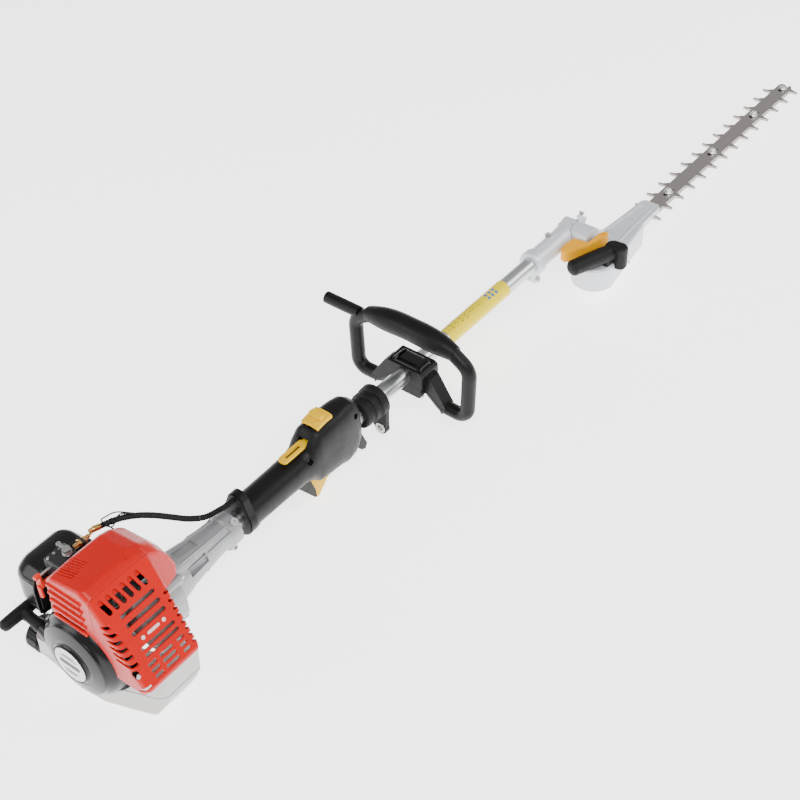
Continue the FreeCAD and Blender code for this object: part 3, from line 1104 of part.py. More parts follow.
def build_loop():
    x, bar = float(D.loop_x), float(D.loop_bar)
    half, back, front = float(D.bracket_half), float(D.bracket_back), float(D.bracket_front)
    top = float(D.loop_top)
    sides = [tube_along(loop_points(side)[:-1] + [(x, side * 48, top - 3.6)], bar, 24) for side in (1, -1)]
    swell = [(-76, 8.2, bar + 0.7), (-62, 5.4, 14), (-44, 3, float(D.loop_grip)), (0, 0.6, float(D.loop_grip) + 0.5),
             (44, 3, float(D.loop_grip)), (62, 5.4, 14), (76, 8.2, bar + 0.7)]
    rings = [Part.Wire(Part.makeCircle(size, Vector(x, y, top - dip), Vector(0, 1, -y * 0.0018)))
             for y, dip, size in swell]
    crown = Part.makeLoft(rings, True, False)
    block_form = Part.makeBox(front - back, 2 * half, 27, Vector(back, -half, -11))
    block_form = block_form.makeFillet(7, [e for e in block_form.Edges
                                           if runs_along(AXIS_X)(e) and e.CenterOfMass.z > 0])
    gussets = [prism([(side * 24, -10), (side * 24, 10), (side * 40, 4), (side * 66, -36), (side * 60, -50),
                      (side * 30, -11)], "x", x - 10, x + 10) for side in (1, -1)]
    grow = Part.makeCylinder(float(D.tube_radius), 200, Vector(-60, 0, 0), AXIS_X)
    below = Part.makeBox(100, 2 * half - 4, 60, Vector(back - 20, -half + 2, -71.2))
    reach = float(D.barrier_reach)
    barrier = Part.makeCylinder(float(D.barrier_bar), reach - 92, Vector(x, 92, top - 14), AXIS_Y)
    barrier = barrier.cut(Part.makeBox(40, 40, 40, Vector(x + 6, reach - 10, top - 40)))
    bolts = [(back + 8, half - 8), (back + 8, 8 - half), (front - 8, half - 8), (front - 8, 8 - half)]
    holes = [Part.makeCylinder(2.6, 80, Vector(bx, by, -60), AXIS_Z) for bx, by in bolts]
    form = block_form.multiFuse(gussets).cut([grow, below] + holes)
    form = form.multiFuse(sides + [crown, barrier]).cut([grow] + holes)
    feature(form, "loop_handle")
    cap = Part.makeBox(front - back, 2 * half - 5, 18, Vector(back, -half + 2.5, -29.5))
    cap = cap.makeFillet(5, [e for e in cap.Edges if runs_along(AXIS_X)(e) and e.CenterOfMass.z < -20])
    clear = [Part.makeCylinder(bar + 0.8, 60, Vector(x, side * 24, -13), Vector(0, side * 34, -29))
             for side in (1, -1)]
    clear += [prism([(side * 22, -9), (side * 22, 10), (side * 42, 4), (side * 68, -36), (side * 60, -52),
                     (side * 29, -12)], "x", x - 10.5, x + 10.5) for side in (1, -1)]
    cap = cap.cut([grow] + holes + clear)
    cap = sorted(cap.Solids, key=lambda s: s.Volume)[-1]
    feature(cap, "loop_clamp_cap")
    screws = [socket_screw((bx, by, -29.5), (0, 0, -1), 4.2, 3, 2.5, 34) for bx, by in bolts]
    fasteners.extend(screws)


# The upper gearcase and the pivot


def build_upper_gearcase():
    back, front, pivot = float(D.clamp_back), float(D.clamp_front), float(D.pivot_x)
    hub, disc = float(D.hub_radius), float(D.disc_radius)
    body = turned([
        (D.clamp_back, 19), (D.clamp_back + 2, 20.5), (D.clamp_front - 3, 20.5), (D.clamp_front, D.gear_body),
        (D.pivot_x - 40, D.gear_body), (D.pivot_x - 30, 17.5), (D.pivot_x - 8, 18), (D.pivot_x - 8, 0),
        (D.clamp_back, 0),
    ], "gear_body")
    doc.recompute()
    barrel = Part.makeCylinder(hub, 18, Vector(pivot, float(D.disc_left), 0), AXIS_Y)
    boss = Part.makeCylinder(10, 3, Vector(pivot, float(D.disc_left) + 18, 0), AXIS_Y)
    lug = Part.makeBox(front - back - 3, 18, 20, Vector(back + 1, -9, -34))
    lug = lug.makeFillet(4, [e for e in lug.Edges if runs_along(AXIS_Y)(e) and e.CenterOfMass.z < -30])
    rib = Part.makeBox(56, 3, 5, Vector(back + 14, -1.5, 14))
    shape = body.Shape.multiFuse([barrel, boss, lug, rib])
    rooms = [
        Part.makeCylinder(float(D.tube_radius), float(D.tube_front) - back + 2, Vector(back - 2, 0, 0), AXIS_X),
        Part.makeCylinder(11, 60, Vector(float(D.tube_front) - 2, 0, 0), AXIS_X),
        Part.makeCylinder(14.5, 14.5, Vector(pivot, -4.5, 0), AXIS_Y),
        Part.makeCylinder(8.5, 20, Vector(pivot, -16, 0), AXIS_Y),
        Part.makeCylinder(4, 60, Vector(pivot, -20, 0), AXIS_Y),
        Part.makeBox(20, 2, 30, Vector(back - 2, -1, -36)),
        Part.makeCylinder(2.6, 40, Vector(back + 8, -20, -27), AXIS_Y),
        Part.makeCylinder(disc + 0.6, 40, Vector(pivot, float(D.disc_left) - 40, 0), AXIS_Y),
    ]
    plug_way = Vector(0, 0.5, 0.866)
    rooms.append(Part.makeCylinder(2.5, 30, Vector(pivot - 50, 0, 0), plug_way))
    shape = shape.cut(rooms).removeSplitter()
    case = sorted(shape.Solids, key=lambda s: s.Volume)[-1]
    notched = Part.makeCylinder(disc, -float(D.disc_right) + float(D.disc_left), Vector(pivot, float(D.disc_right), 0),
                                AXIS_Y)
    tools = [Part.makeCylinder(8.5, 20, Vector(pivot, -16, 0), AXIS_Y)]
    count = int(float(D.disc_notches))
    for n in range(count):
        notch = Part.makeBox(4.4, 12, 3.4, Vector(pivot + disc - 3.4, -14, -1.7))
        notch.rotate(Vector(pivot, 0, 0), AXIS_Y, -53 + 360 * n / count)
        tools.append(notch)
    feature(case.fuse(notched.cut(tools)), "upper_gearcase")
    plug = bolt(Vector(pivot - 50, 0, 0) + plug_way * 17.2, plug_way, 8, 4, 2.4, 5, 5)
    clamp = socket_screw((back + 8, -9, -27), (0, -1, 0), 4.4, 4, 2.5, 17)
    nut = hex_head((back + 8, 9, -27), (0, 1, 0), 8, 4)
    fasteners.extend([plug, clamp, nut])
    bolt_shape = Part.makeCylinder(3.9, 62, Vector(pivot, -45, 0), AXIS_Y)
    left = float(D.disc_left) + 21
    right = float(D.hub_right)
    bolt_shape = bolt_shape.fuse(hex_head((pivot, left, 0), (0, 1, 0), 13, 5)).cut(
        Part.makeBox(40, 40, 40, Vector(pivot - 20, right - 5 - 40, -20)))
    nut = hex_head((pivot, right - 0.3, 0), (0, -1, 0), 12, 4.6)
    feature(bolt_shape.fuse(nut).removeSplitter(), "pivot_bolt")

    wheel = moved(bevel_blank(12, 8, 2, 20, 1.2, 3.95), (pivot, 6.4, 0), "-y")
    backing = Part.makeCylinder(11, 2, Vector(pivot, 6.4, 0), AXIS_Y)
    sleeve = Part.makeCylinder(6, 28, Vector(pivot, -19.6, 0), AXIS_Y)
    mitre = moved(bevel_blank(7.6, 5, 2.6, 12, 1.2, 3.95), (pivot, float(D.jack_y) + 8, 0), "-y")
    idler = wheel.multiFuse([backing, sleeve, mitre]).cut(
        Part.makeCylinder(3.95, 80, Vector(pivot, -50, 0), AXIS_Y))
    feature(idler.removeSplitter(), "pivot_gear")


# The cutter gearcase


def pear_form(low, high, inset):
    """The pear-shaped plan: a round rear end and two sides closing towards the nose."""
    x, y, radius = float(D.round_x), float(D.round_y), float(D.round_radius) - inset
    step, middle = float(D.step_x), float(D.blade_y)
    left, right = y + radius, y - radius
    body = Part.makeCylinder(radius, high - low, Vector(x, y, low), AXIS_Z)
    wedge = prism([(x, left), (step - 60, left - 3), (step - inset, middle + 20 - inset),
                   (step - inset, middle - 24 + inset), (x, right)], "z", low, high)
    return body.fuse(wedge).removeSplitter()


def build_cutter_case():
    low, high = float(D.cutter_low), float(D.cutter_high)
    pivot, hub = float(D.pivot_x), float(D.hub_radius)
    middle, step, nose = float(D.blade_y), float(D.step_x), float(D.nose_x)
    right = float(D.hub_right)
    jack = float(D.jack_y)
    top_blade = float(D.blade_top)
    stack = 2 * float(D.blade_thick) + 2 * float(D.blade_gap) + float(D.bar_thick)
    pear = pear_form(low + 2.6, high, 0)
    pear = pear.makeFillet(5, [e for e in pear.Edges if abs(e.CenterOfMass.z - high) < 0.1])
    plate = prism([(step - 70, middle + 22), (step, middle + 18.5), (nose - 6, middle + 17), (nose, middle + 12),
                   (nose, middle - 12), (nose - 6, middle - 17), (step, middle - 20), (step - 70, middle - 26)],
                  "z", top_blade + 0.3, high + 1)
    slope = prism([(step - 60, high + 1.2), (nose + 2, high - 5), (nose + 2, high + 20), (step - 60, high + 20)],
                  "y", -150, 50)
    plate = plate.cut(slope)
    barrel = Part.makeCylinder(hub, -10.6 - right, Vector(pivot, right, 0), AXIS_Y)
    web = Part.makeBox(2 * hub - 4, -20.6 - right, 30, Vector(pivot - hub + 2, right, high - 3))
    ramp = prism([(pivot + 6, 18), (pivot + 19, 6), (pivot + 62, high), (pivot + 60, high - 4), (pivot, high - 4)],
                 "y", right, -20.6)
    spine = Part.makeBox(nose - pivot - 60, 5, 5, Vector(pivot + 50, middle - 2.5, high - 3.5)).cut(slope)
    seat = Part.makeBox(13, 12, 6, Vector(-6.5, -17, 23))
    seat_arm = Part.makeBox(13, 6.4, 10, Vector(-6.5, -17, 15))
    lean = FreeCAD.Rotation(AXIS_Y, 37)
    lug = seat.fuse(seat_arm)
    lug.Placement = FreeCAD.Placement(Vector(pivot, 0, 0), lean)
    form = pear.multiFuse([plate, barrel, web, ramp, spine, lug])
    pin_room = Part.makeCylinder(2.6, 30, Vector(0, -8, 20), AXIS_Z)
    pin_room.Placement = FreeCAD.Placement(Vector(pivot, 0, 0), lean)
    slot_low = top_blade - stack
    rooms = [
        pin_room,
        Part.makeCylinder(9.2, 24, Vector(pivot, right + 4, 0), AXIS_Y),
        Part.makeCylinder(6.3, 40, Vector(pivot, right + 10, 0), AXIS_Y),
        Part.makeCylinder(4.2, 80, Vector(pivot, right - 10, 0), AXIS_Y),
        Part.makeCylinder(9.2, 30, Vector(pivot, jack, -30), AXIS_Z),
        Part.makeCylinder(10.3, 13, Vector(pivot, jack, low + 1), AXIS_Z),
        Part.makeCylinder(5.05, 36, Vector(pivot, jack, -54), AXIS_Z),
        Part.makeCylinder(float(D.gear_radius) + 1.4, 14, Vector(float(D.eccentric_x), middle, low - 0.5), AXIS_Z),
        Part.makeCylinder(17.6, top_blade + 0.6 - low, Vector(float(D.eccentric_x), middle, low - 0.5), AXIS_Z),
        Part.makeCylinder(6.05, -32 - low, Vector(float(D.eccentric_x), middle, low), AXIS_Z),
        prism([(457, middle - 21.8), (513, middle - 21.8), (534, middle - 13.5), (534, middle + 13.5),
               (513, middle + 21.8), (457, middle + 21.8)], "z", slot_low, top_blade + 0.3),
        Part.makeBox(nose, 2 * float(D.blade_half) + 1, -slot_low + top_blade + 0.3,
                     Vector(515, middle - float(D.blade_half) - 0.5, slot_low)),
        Part.makeBox(nose, 80, 60, Vector(step, middle - 40, top_blade + 0.3 - 60)),
    ]
    form = form.cut(rooms)
    feature(sorted(form.removeSplitter().Solids, key=lambda s: s.Volume)[-1], "cutter_gearcase")
    cover = pear_form(low, low + 2.4, 0)
    spots = [(424, -30), (414, -60), (440, -84), (510, -27), (512, -75), (557, -33), (557, -62)]
    holes = [Part.makeCylinder(2, 10, Vector(x, y, low - 2), AXIS_Z) for x, y in spots]
    feature(cover.cut(holes), "gearcase_cover")
    screws = [socket_screw((x, y, low), (0, 0, -1), 3.6, 2.4, 1.9, 2.4) for x, y in spots]

    top = moved(bevel_blank(7.6, 5, 2.6, 12, 1.2, 0.4), (pivot, jack, -8), "z")
    stem = Part.makeCylinder(5, 50 - 8, Vector(pivot, jack, -50), AXIS_Z)
    pinion = moved(gear_blank(float(D.pinion_radius), 8, 10, 1.8, 0.4), (pivot, jack, low + 4), "z")
    feature(top.multiFuse([stem, Part.makeCylinder(5, 8, Vector(pivot, jack, low + 6), AXIS_Z), pinion])
            .removeSplitter(), "jack_shaft")
    x = float(D.eccentric_x)
    throw = float(D.eccentric_throw)
    wheel = moved(gear_blank(float(D.gear_radius), 8, 22, 1.8, 0.4), (x, middle, low + 4), "z")
    lower = Part.makeCylinder(8.6, 4, Vector(x, middle + throw, top_blade - 4.3), AXIS_Z)
    upper = Part.makeCylinder(8.6, 2.1, Vector(x, middle - throw, top_blade - 2), AXIS_Z)
    core = Part.makeCylinder(6, top_blade - low - 4.2, Vector(x, middle, low + 4), AXIS_Z)
    feature(wheel.multiFuse([lower, upper, core]).removeSplitter(), "eccentric_gear")

    start, end = Vector(372, -50, -7), Vector(456, -78, -9)
    way = (end - start).normalize()
    bar = Part.makeCylinder(13.2, (end - start).Length, start, way)
    bar = bar.makeFillet(6, [e for e in bar.Edges if e.CenterOfMass.x < 380 and len(e.Vertexes) == 1])
    guard = prism([(450, -66), (462, -70), (466, -92), (456, -99), (446, -93)], "z", -46, 4)
    guard = guard.makeFillet(2.5, [e for e in guard.Edges if runs_along(AXIS_Z)(e)])
    foot = Part.makeBox(30, 20, 14, Vector(430, -84, -30))
    keep_out = pear_form(low, high, -0.02)
    grip = bar.multiFuse([guard, foot]).cut([keep_out, Part.makeCylinder(9, 20, Vector(pivot, -60, 0), AXIS_Y)])
    feature(sorted(grip.removeSplitter().Solids, key=lambda s: s.Volume)[-1], "adjusting_grip")
    outline = [(386, -31), (389, -23), (402, -21), (425, -23), (428.5, -47.2), (458, -48), (470, -53),
               (467, -60.5), (424, -51.5), (392, -37)]
    lever = prism(outline, "z", -10, 10)
    pin_spot = Vector(461, -54, -24)
    lever = lever.cut(Part.makeCylinder(2.05, 60, pin_spot - AXIS_Z * 10, AXIS_Z))
    feature(lever.removeSplitter(), "release_lever")
    screws.append(Part.makeCylinder(2, 30, pin_spot, AXIS_Z))
    feature(Part.makeCompound(screws), "cutter_case_fasteners")
    pin = Part.makeCylinder(2.5, 10, Vector(0, -8, 22.4), AXIS_Z)
    knob = Part.makeCylinder(4.6, 4, Vector(0, -8, 31), AXIS_Z)
    neck = Part.makeCylinder(3.2, 2, Vector(0, -8, 29.4), AXIS_Z)
    pin = pin.multiFuse([knob, neck]).removeSplitter()
    pin.Placement = FreeCAD.Placement(Vector(pivot, 0, 0), lean)
    feature(pin, "index_pin")


# The blades


def blade_body(label, top):
    """One reciprocating blade: a forked root, a bar with slots for the bolts, and a row of teeth each side."""
    body = new_body("blade")
    thick = D.blade_thick
    y, half = D.blade_y, D.blade_half
    fork = 17.4
    outline = sketch_on(body, "XY_Plane", top - thick)
    polygon(outline, [
        (D.blade_root, y + fork), (D.eccentric_x + 26, y + fork), (D.eccentric_x + 26, y - fork),
        (D.blade_root, y - fork), (D.blade_root, y - fork - 3.6), (D.eccentric_x + 32, y - fork - 3.6),
        (D.eccentric_x + 52, y - half + 0.4), (D.blade_tip - 6, y - half + 0.4), (D.blade_tip, y - half + 4),
        (D.blade_tip, y - 4.6), (D.tip_bolt - 13, y - 4.6), (D.tip_bolt - 13, y + 4.6), (D.blade_tip, y + 4.6),
        (D.blade_tip, y + half - 4), (D.blade_tip - 6, y + half - 0.4), (D.eccentric_x + 52, y + half - 0.4),
        (D.eccentric_x + 32, y + fork + 3.6), (D.blade_root, y + fork + 3.6),
    ])
    pad(body, outline, thick)
    reach = D.tooth_reach
    for side, first, count, lean in ((1, D.first_left, D.teeth_left, 2), (-1, D.first_right, D.teeth_right, -2)):
        edge = y + half * side
        tooth = sketch_on(body, "XY_Plane", top - thick)
        polygon(tooth, [
            (first + lean - 5, edge + side * -3), (first + lean - 3, edge + side * 2), (first - 2.2, edge + side * 8),
            (first - 1.2, edge + reach * side), (first + 1.2, edge + reach * side), (first + 2.6, edge + side * 8),
            (first + lean + 6.5, edge + side * 2), (first + lean + 10, edge + side * -3),
        ])
        piece = pad(body, tooth, thick)
        repeat(body, [piece], tooth, "H_Axis", D.tooth_pitch * (float(count) - 1), int(float(count)))
    slot = sketch_on(body, "XY_Plane", top - thick)
    long = 12.6
    polygon(slot, [(D.bolt_first - long, y - 4.4), (D.bolt_first + long, y - 4.4),
                   (D.bolt_first + long, y + 4.4), (D.bolt_first - long, y + 4.4)])
    opening = pocket(body, slot, reverse=True)
    count = int(float(D.bolt_count))
    repeat(body, [opening], slot, "H_Axis", D.bolt_pitch * (count - 1), count)
    return finish(body, label)


def build_blades():
    gap, thick = D.blade_gap, D.blade_thick
    blade_body("upper_blade", D.blade_top)
    blade_body("lower_blade", D.blade_top - thick - gap)
    top = float(D.blade_top - thick * 2 - gap * 2)
    y, half = float(D.blade_y), float(D.blade_half)
    tip = float(D.blade_tip)
    bar = prism([(520, y + half), (tip - 10, y + half), (tip - 2, y + 5), (tip - 2, y - 5), (tip - 10, y - half),
                 (520, y - half)], "z", top - float(D.bar_thick), top)
    spots = [float(D.bolt_first) + float(D.bolt_pitch) * n for n in range(int(float(D.bolt_count)))]
    spots.append(float(D.tip_bolt))
    holes = [Part.makeCylinder(4, 20, Vector(x, y, top - 10), AXIS_Z) for x in spots]
    feature(bar.cut(holes), "blade_guide_bar")
    high = float(D.blade_top) + 0.3
    bolts = []
    for x in spots:
        head = Part.makeCylinder(8, 1.2, Vector(x, y, high), AXIS_Z)
        hexagon = hex_head((x, y, high + 1.2), (0, 0, 1), 10, 4)
        shank = Part.makeCylinder(4, high - top + float(D.bar_thick) + 5, Vector(x, y, top - float(D.bar_thick) - 5),
                                  AXIS_Z)
        nut = hex_head((x, y, top - float(D.bar_thick)), (0, 0, -1), 12, 4)
        bolts.append(shank.multiFuse([head, hexagon, nut]).removeSplitter())
    feature(Part.makeCompound(bolts), "blade_bolts")


def write_parts():
    """Checks every object and sub-part, then writes one STEP file for each sub-part."""
    doc.recompute()
    failed = [o.Label for o in doc.Objects if {"Invalid", "Error"} & set(o.State)]
    if failed:
        raise RuntimeError(f"these objects failed: {failed}")
    for thing in made:
        if thing.Shape.isNull() or not thing.Shape.isValid():
            raise RuntimeError(f"{thing.Label} has no valid shape")
    os.makedirs("parts", exist_ok=True)
    for thing in made:
        thing.Shape.exportStep(f"parts/{thing.Label}.step")
    print(f"{len(made)} sub-parts")


build_shaft()
build_clutch()
build_flywheel()
build_crankcase()
build_starter()
build_tank()
build_covers()
build_carburettor()
build_grip()
build_cables()
build_hanger()
build_loop()
build_upper_gearcase()
build_cutter_case()
build_blades()
feature(Part.makeCompound(fasteners), "frame_fasteners")
write_parts()
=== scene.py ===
"""Long-reach petrol hedge trimmer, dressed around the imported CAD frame. Metres throughout, +Z up."""

import math
import random
from contextlib import contextmanager

import bmesh
import bpy
from mathutils import Matrix, Vector
from mathutils.bvhtree import BVHTree


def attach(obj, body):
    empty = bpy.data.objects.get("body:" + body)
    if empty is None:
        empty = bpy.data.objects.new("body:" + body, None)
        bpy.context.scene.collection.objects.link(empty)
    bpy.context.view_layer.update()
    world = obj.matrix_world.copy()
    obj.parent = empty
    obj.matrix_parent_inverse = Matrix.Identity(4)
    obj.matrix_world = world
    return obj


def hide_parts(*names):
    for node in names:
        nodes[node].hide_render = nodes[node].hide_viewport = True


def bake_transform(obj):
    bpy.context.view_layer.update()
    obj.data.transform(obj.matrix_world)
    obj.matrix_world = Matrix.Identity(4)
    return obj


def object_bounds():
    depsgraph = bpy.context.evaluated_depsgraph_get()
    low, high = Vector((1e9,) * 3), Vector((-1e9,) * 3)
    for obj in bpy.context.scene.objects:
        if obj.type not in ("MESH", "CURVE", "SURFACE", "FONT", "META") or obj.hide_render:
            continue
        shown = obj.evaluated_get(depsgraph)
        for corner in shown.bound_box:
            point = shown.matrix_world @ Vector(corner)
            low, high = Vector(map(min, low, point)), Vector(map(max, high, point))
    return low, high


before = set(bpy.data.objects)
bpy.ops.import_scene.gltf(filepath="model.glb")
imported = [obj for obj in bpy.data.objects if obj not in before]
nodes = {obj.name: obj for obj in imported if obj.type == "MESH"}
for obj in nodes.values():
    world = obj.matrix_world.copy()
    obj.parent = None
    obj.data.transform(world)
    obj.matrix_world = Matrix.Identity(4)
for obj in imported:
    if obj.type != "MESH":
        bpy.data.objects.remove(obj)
cad_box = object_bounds()
MM = 0.001


# Materials

def new_material(name):
    material = bpy.data.materials.new(name)
    material.use_nodes = True
    tree = material.node_tree
    return material, tree, tree.nodes["Principled BSDF"]


def add(tree, kind, **settings):
    """A node of that kind; settings are its attributes, or its inputs by name with spaces as underscores."""
    node = tree.nodes.new(kind)
    for key, value in settings.items():
        name = key.replace("_", " ").title()
        if hasattr(node, key):
            setattr(node, key, value)
        else:
            node.inputs[name].default_value = value
    return node


def dial(shader, **values):
    """Sets a shader's inputs by name, with spaces as underscores."""
    for key, value in values.items():
        shader.inputs[key.replace("_", " ").title().replace("Ior", "IOR")].default_value = value


def coordinates(tree, stretch=(1, 1, 1)):
    """Object coordinates, stretched."""
    place = tree.nodes.new("ShaderNodeTexCoord")
    mapping = tree.nodes.new("ShaderNodeMapping")
    mapping.inputs["Scale"].default_value = stretch
    tree.links.new(place.outputs["Object"], mapping.inputs["Vector"])
    return mapping.outputs["Vector"]


def noise(tree, vector, scale, detail=4, roughness=0.55):
    node = add(tree, "ShaderNodeTexNoise", scale=scale, detail=detail, roughness=roughness)
    tree.links.new(vector, node.inputs["Vector"])
    return node.outputs["Fac"]


def ramp(tree, value, low, high, start=0.0, end=1.0):
    """Maps value from [low, high] to [start, end]."""
    node = add(tree, "ShaderNodeMapRange", from_min=low, from_max=high, to_min=start, to_max=end)
    tree.links.new(value, node.inputs["Value"])
    return node.outputs["Result"]


def mix(tree, share, one, two):
    """Two colours mixed by share; each is a colour or an output."""
    node = tree.nodes.new("ShaderNodeMix")
    node.data_type = "RGBA"
    tree.links.new(share, node.inputs["Factor"])
    for socket, colour in ((node.inputs["A"], one), (node.inputs["B"], two)):
        if isinstance(colour, bpy.types.NodeSocket):
            tree.links.new(colour, socket)
        else:
            socket.default_value = (*colour, 1)
    return node.outputs["Result"]


def bump(tree, shader, height, strength, distance, under=None):
    node = add(tree, "ShaderNodeBump", strength=strength, distance=distance)
    tree.links.new(height, node.inputs["Height"])
    if under:
        tree.links.new(under, node.inputs["Normal"])
    tree.links.new(node.outputs["Normal"], shader.inputs["Normal"])
    return node.outputs["Normal"]


def worn(tree, vector, scale=6, amount=0.5):
    """Patches where handling and dust show, 0 to 1."""
    broad = noise(tree, vector, scale, 6, 0.65)
    return ramp(tree, broad, 0.56, 0.56 + 0.25 / max(amount, 0.05))


def plastic(name, colour, roughness, grain=900, depth=0.35, dust=0.25, coat=0.0, tint=0.16, shine=0.3):
    """Moulded plastic: fine spark-eroded grain, uneven gloss, dust in patches and hairline scuffs."""
    material, tree, shader = new_material(name)
    vector = coordinates(tree)
    darker = tuple(c * (1 - tint) for c in colour)
    paler = tuple(min(1, c * (1 + tint) + 0.001) for c in colour)
    base = mix(tree, noise(tree, vector, 14, 5), darker, paler)
    dusty = tuple(min(1, c * 0.9 + 0.012) for c in colour)
    patches = worn(tree, vector, 18, dust)
    base = mix(tree, ramp(tree, patches, 0, 1, 0, dust), base, dusty)
    tree.links.new(base, shader.inputs["Base Color"])
    uneven = noise(tree, vector, 60, 6, 0.7)
    tree.links.new(ramp(tree, uneven, 0.3, 0.7, roughness * 0.84, min(1, roughness * 1.2)),
                   shader.inputs["Roughness"])
    scuffs = noise(tree, coordinates(tree, (30, 260, 180)), 4, 3, 0.5)
    first = bump(tree, shader, ramp(tree, scuffs, 0.62, 0.7), 0.05, 0.0002)
    bump(tree, shader, noise(tree, vector, grain, 2), depth, 0.0002, first)
    dial(shader, coat_weight=coat, coat_roughness=0.12, ior=1.5, specular_ior_level=shine)
    return material


def casting(name, colour, roughness, metallic, grain=520, depth=0.35, grime=0.3):
    """Die-cast alloy: a sand-like skin, flow marks, and grime that settles in patches."""
    material, tree, shader = new_material(name)
    vector = coordinates(tree)
    darker = tuple(c * 0.86 for c in colour)
    paler = tuple(min(1, c * 1.07) for c in colour)
    base = mix(tree, noise(tree, vector, 9, 6, 0.6), darker, paler)
    stains = worn(tree, vector, 26, grime)
    base = mix(tree, ramp(tree, stains, 0, 1, 0, grime), base, tuple(c * 0.5 for c in colour))
    tree.links.new(base, shader.inputs["Base Color"])
    uneven = noise(tree, vector, 70, 5, 0.7)
    tree.links.new(ramp(tree, uneven, 0.3, 0.7, roughness * 0.8, min(1, roughness * 1.25)),
                   shader.inputs["Roughness"])
    dial(shader, metallic=metallic)
    first = bump(tree, shader, noise(tree, vector, 90, 4), 0.08, 0.0006)
    bump(tree, shader, noise(tree, vector, grain, 3, 0.6), depth, 0.00025, first)
    return material


def machined(name, colour, roughness, stretch=(6, 300, 300), depth=0.12, tarnish=0.25):
    """Turned, drawn or ground metal: fine lines along one way, smears and a little tarnish."""
    material, tree, shader = new_material(name)
    vector = coordinates(tree)
    lines = noise(tree, coordinates(tree, stretch), 5, 6, 0.75)
    darker = tuple(c * 0.84 for c in colour)
    base = mix(tree, lines, darker, colour)
    smears = worn(tree, vector, 22, tarnish)
    base = mix(tree, ramp(tree, smears, 0, 1, 0, tarnish), base, tuple(c * 0.62 for c in colour))
    tree.links.new(base, shader.inputs["Base Color"])
    tree.links.new(ramp(tree, lines, 0.25, 0.75, roughness * 0.75, min(1, roughness * 1.3)),
                   shader.inputs["Roughness"])
    dial(shader, metallic=1)
    bump(tree, shader, lines, depth, 0.0001)
    return material


def milky(name):
    """Translucent tank plastic, paler where it is thick, with fuel showing faintly in its foot."""
    material, tree, shader = new_material(name)
    vector = coordinates(tree)
    base = mix(tree, noise(tree, vector, 16, 5), (0.42, 0.43, 0.41), (0.52, 0.53, 0.51))
    height = tree.nodes.new("ShaderNodeSeparateXYZ")
    tree.links.new(vector, height.inputs["Vector"])
    fuel = ramp(tree, height.outputs["Z"], -0.055, -0.072)
    base = mix(tree, ramp(tree, fuel, 0, 1, 0, 0.35), base, (0.50, 0.44, 0.35))
    tree.links.new(base, shader.inputs["Base Color"])
    dial(shader, subsurface_weight=0.25, subsurface_scale=0.008, roughness=0.38)
    bump(tree, shader, noise(tree, vector, 420, 3), 0.16, 0.0003)
    return material


def foam(name):
    material, tree, shader = new_material(name)
    vector = coordinates(tree)
    cells = add(tree, "ShaderNodeTexVoronoi", scale=700.0)
    tree.links.new(vector, cells.inputs["Vector"])
    tree.links.new(mix(tree, cells.outputs["Distance"], (0.02, 0.02, 0.02), (0.09, 0.09, 0.09)),
                   shader.inputs["Base Color"])
    dial(shader, roughness=0.95)
    bump(tree, shader, cells.outputs["Distance"], 0.9, 0.0008)
    return material


def braid(name, colour):
    """Plaited cord: two crossed sets of waves."""
    material, tree, shader = new_material(name)
    vector = coordinates(tree)
    waves = []
    for turn in (0.8, -0.8):
        place = tree.nodes.new("ShaderNodeMapping")
        place.inputs["Rotation"].default_value = (0, 0, turn)
        tree.links.new(vector, place.inputs["Vector"])
        wave = add(tree, "ShaderNodeTexWave", scale=260.0, distortion=0.4)
        tree.links.new(place.outputs["Vector"], wave.inputs["Vector"])
        waves.append(wave.outputs["Fac"])
    both = tree.nodes.new("ShaderNodeMath")
    both.operation = "MAXIMUM"
    tree.links.new(waves[0], both.inputs[0])
    tree.links.new(waves[1], both.inputs[1])
    base = mix(tree, both.outputs[0], tuple(c * 0.4 for c in colour), colour)
    tree.links.new(base, shader.inputs["Base Color"])
    dial(shader, roughness=0.85)
    bump(tree, shader, both.outputs[0], 0.6, 0.0004)
    return material


PLASTICS = {
    # look: material, colour, roughness, grain, grain depth, dust, coat, tint, shine
    "red": ("red_plastic", (0.47, 0.0035, 0.0015), 0.27, 700, 0.05, 0.08, 0.06, 0.06, 0.2),
    "black": ("black_plastic", (0.0035, 0.0035, 0.004), 0.42, 850, 0.28, 0.15, 0.0, 0.16, 0.17),
    "gloss_black": ("gloss_black_plastic", (0.0035, 0.0035, 0.004), 0.24, 700, 0.08, 0.15, 0.03, 0.16, 0.25),
    "rubber": ("grip_rubber", (0.0045, 0.0045, 0.005), 0.55, 600, 0.45, 0.2, 0.0, 0.16, 0.2),
    "yellow": ("yellow_plastic", (0.74, 0.44, 0.0), 0.4, 800, 0.12, 0.06, 0.0, 0.06, 0.15),
    "amber": ("amber_plastic", (0.82, 0.36, 0.0), 0.4, 800, 0.12, 0.06, 0.0, 0.06, 0.15),
    "orange": ("orange_plastic", (0.62, 0.03, 0.012), 0.35, 800, 0.15, 0.1, 0.05, 0.07),
    "sleeve": ("sleeve_vinyl", (0.80, 0.62, 0.0), 0.34, 500, 0.04, 0.04, 0.0, 0.05, 0.15),
    "bulb": ("primer_rubber", (0.40, 0.35, 0.26), 0.3, 500, 0.1, 0.1),
    "mark": ("pale_marks", (0.72, 0.52, 0.50), 0.35, 500, 0.05, 0.08),
    "mark_blue": ("blue_marks", (0.06, 0.17, 0.42), 0.35, 500, 0.05, 0.08),
    "label": ("label_card", (0.70, 0.70, 0.69), 0.3, 500, 0.05, 0.06, 0.1, 0.04),
    "ink": ("label_ink", (0.03, 0.03, 0.032), 0.4, 500, 0.05, 0.06),
}
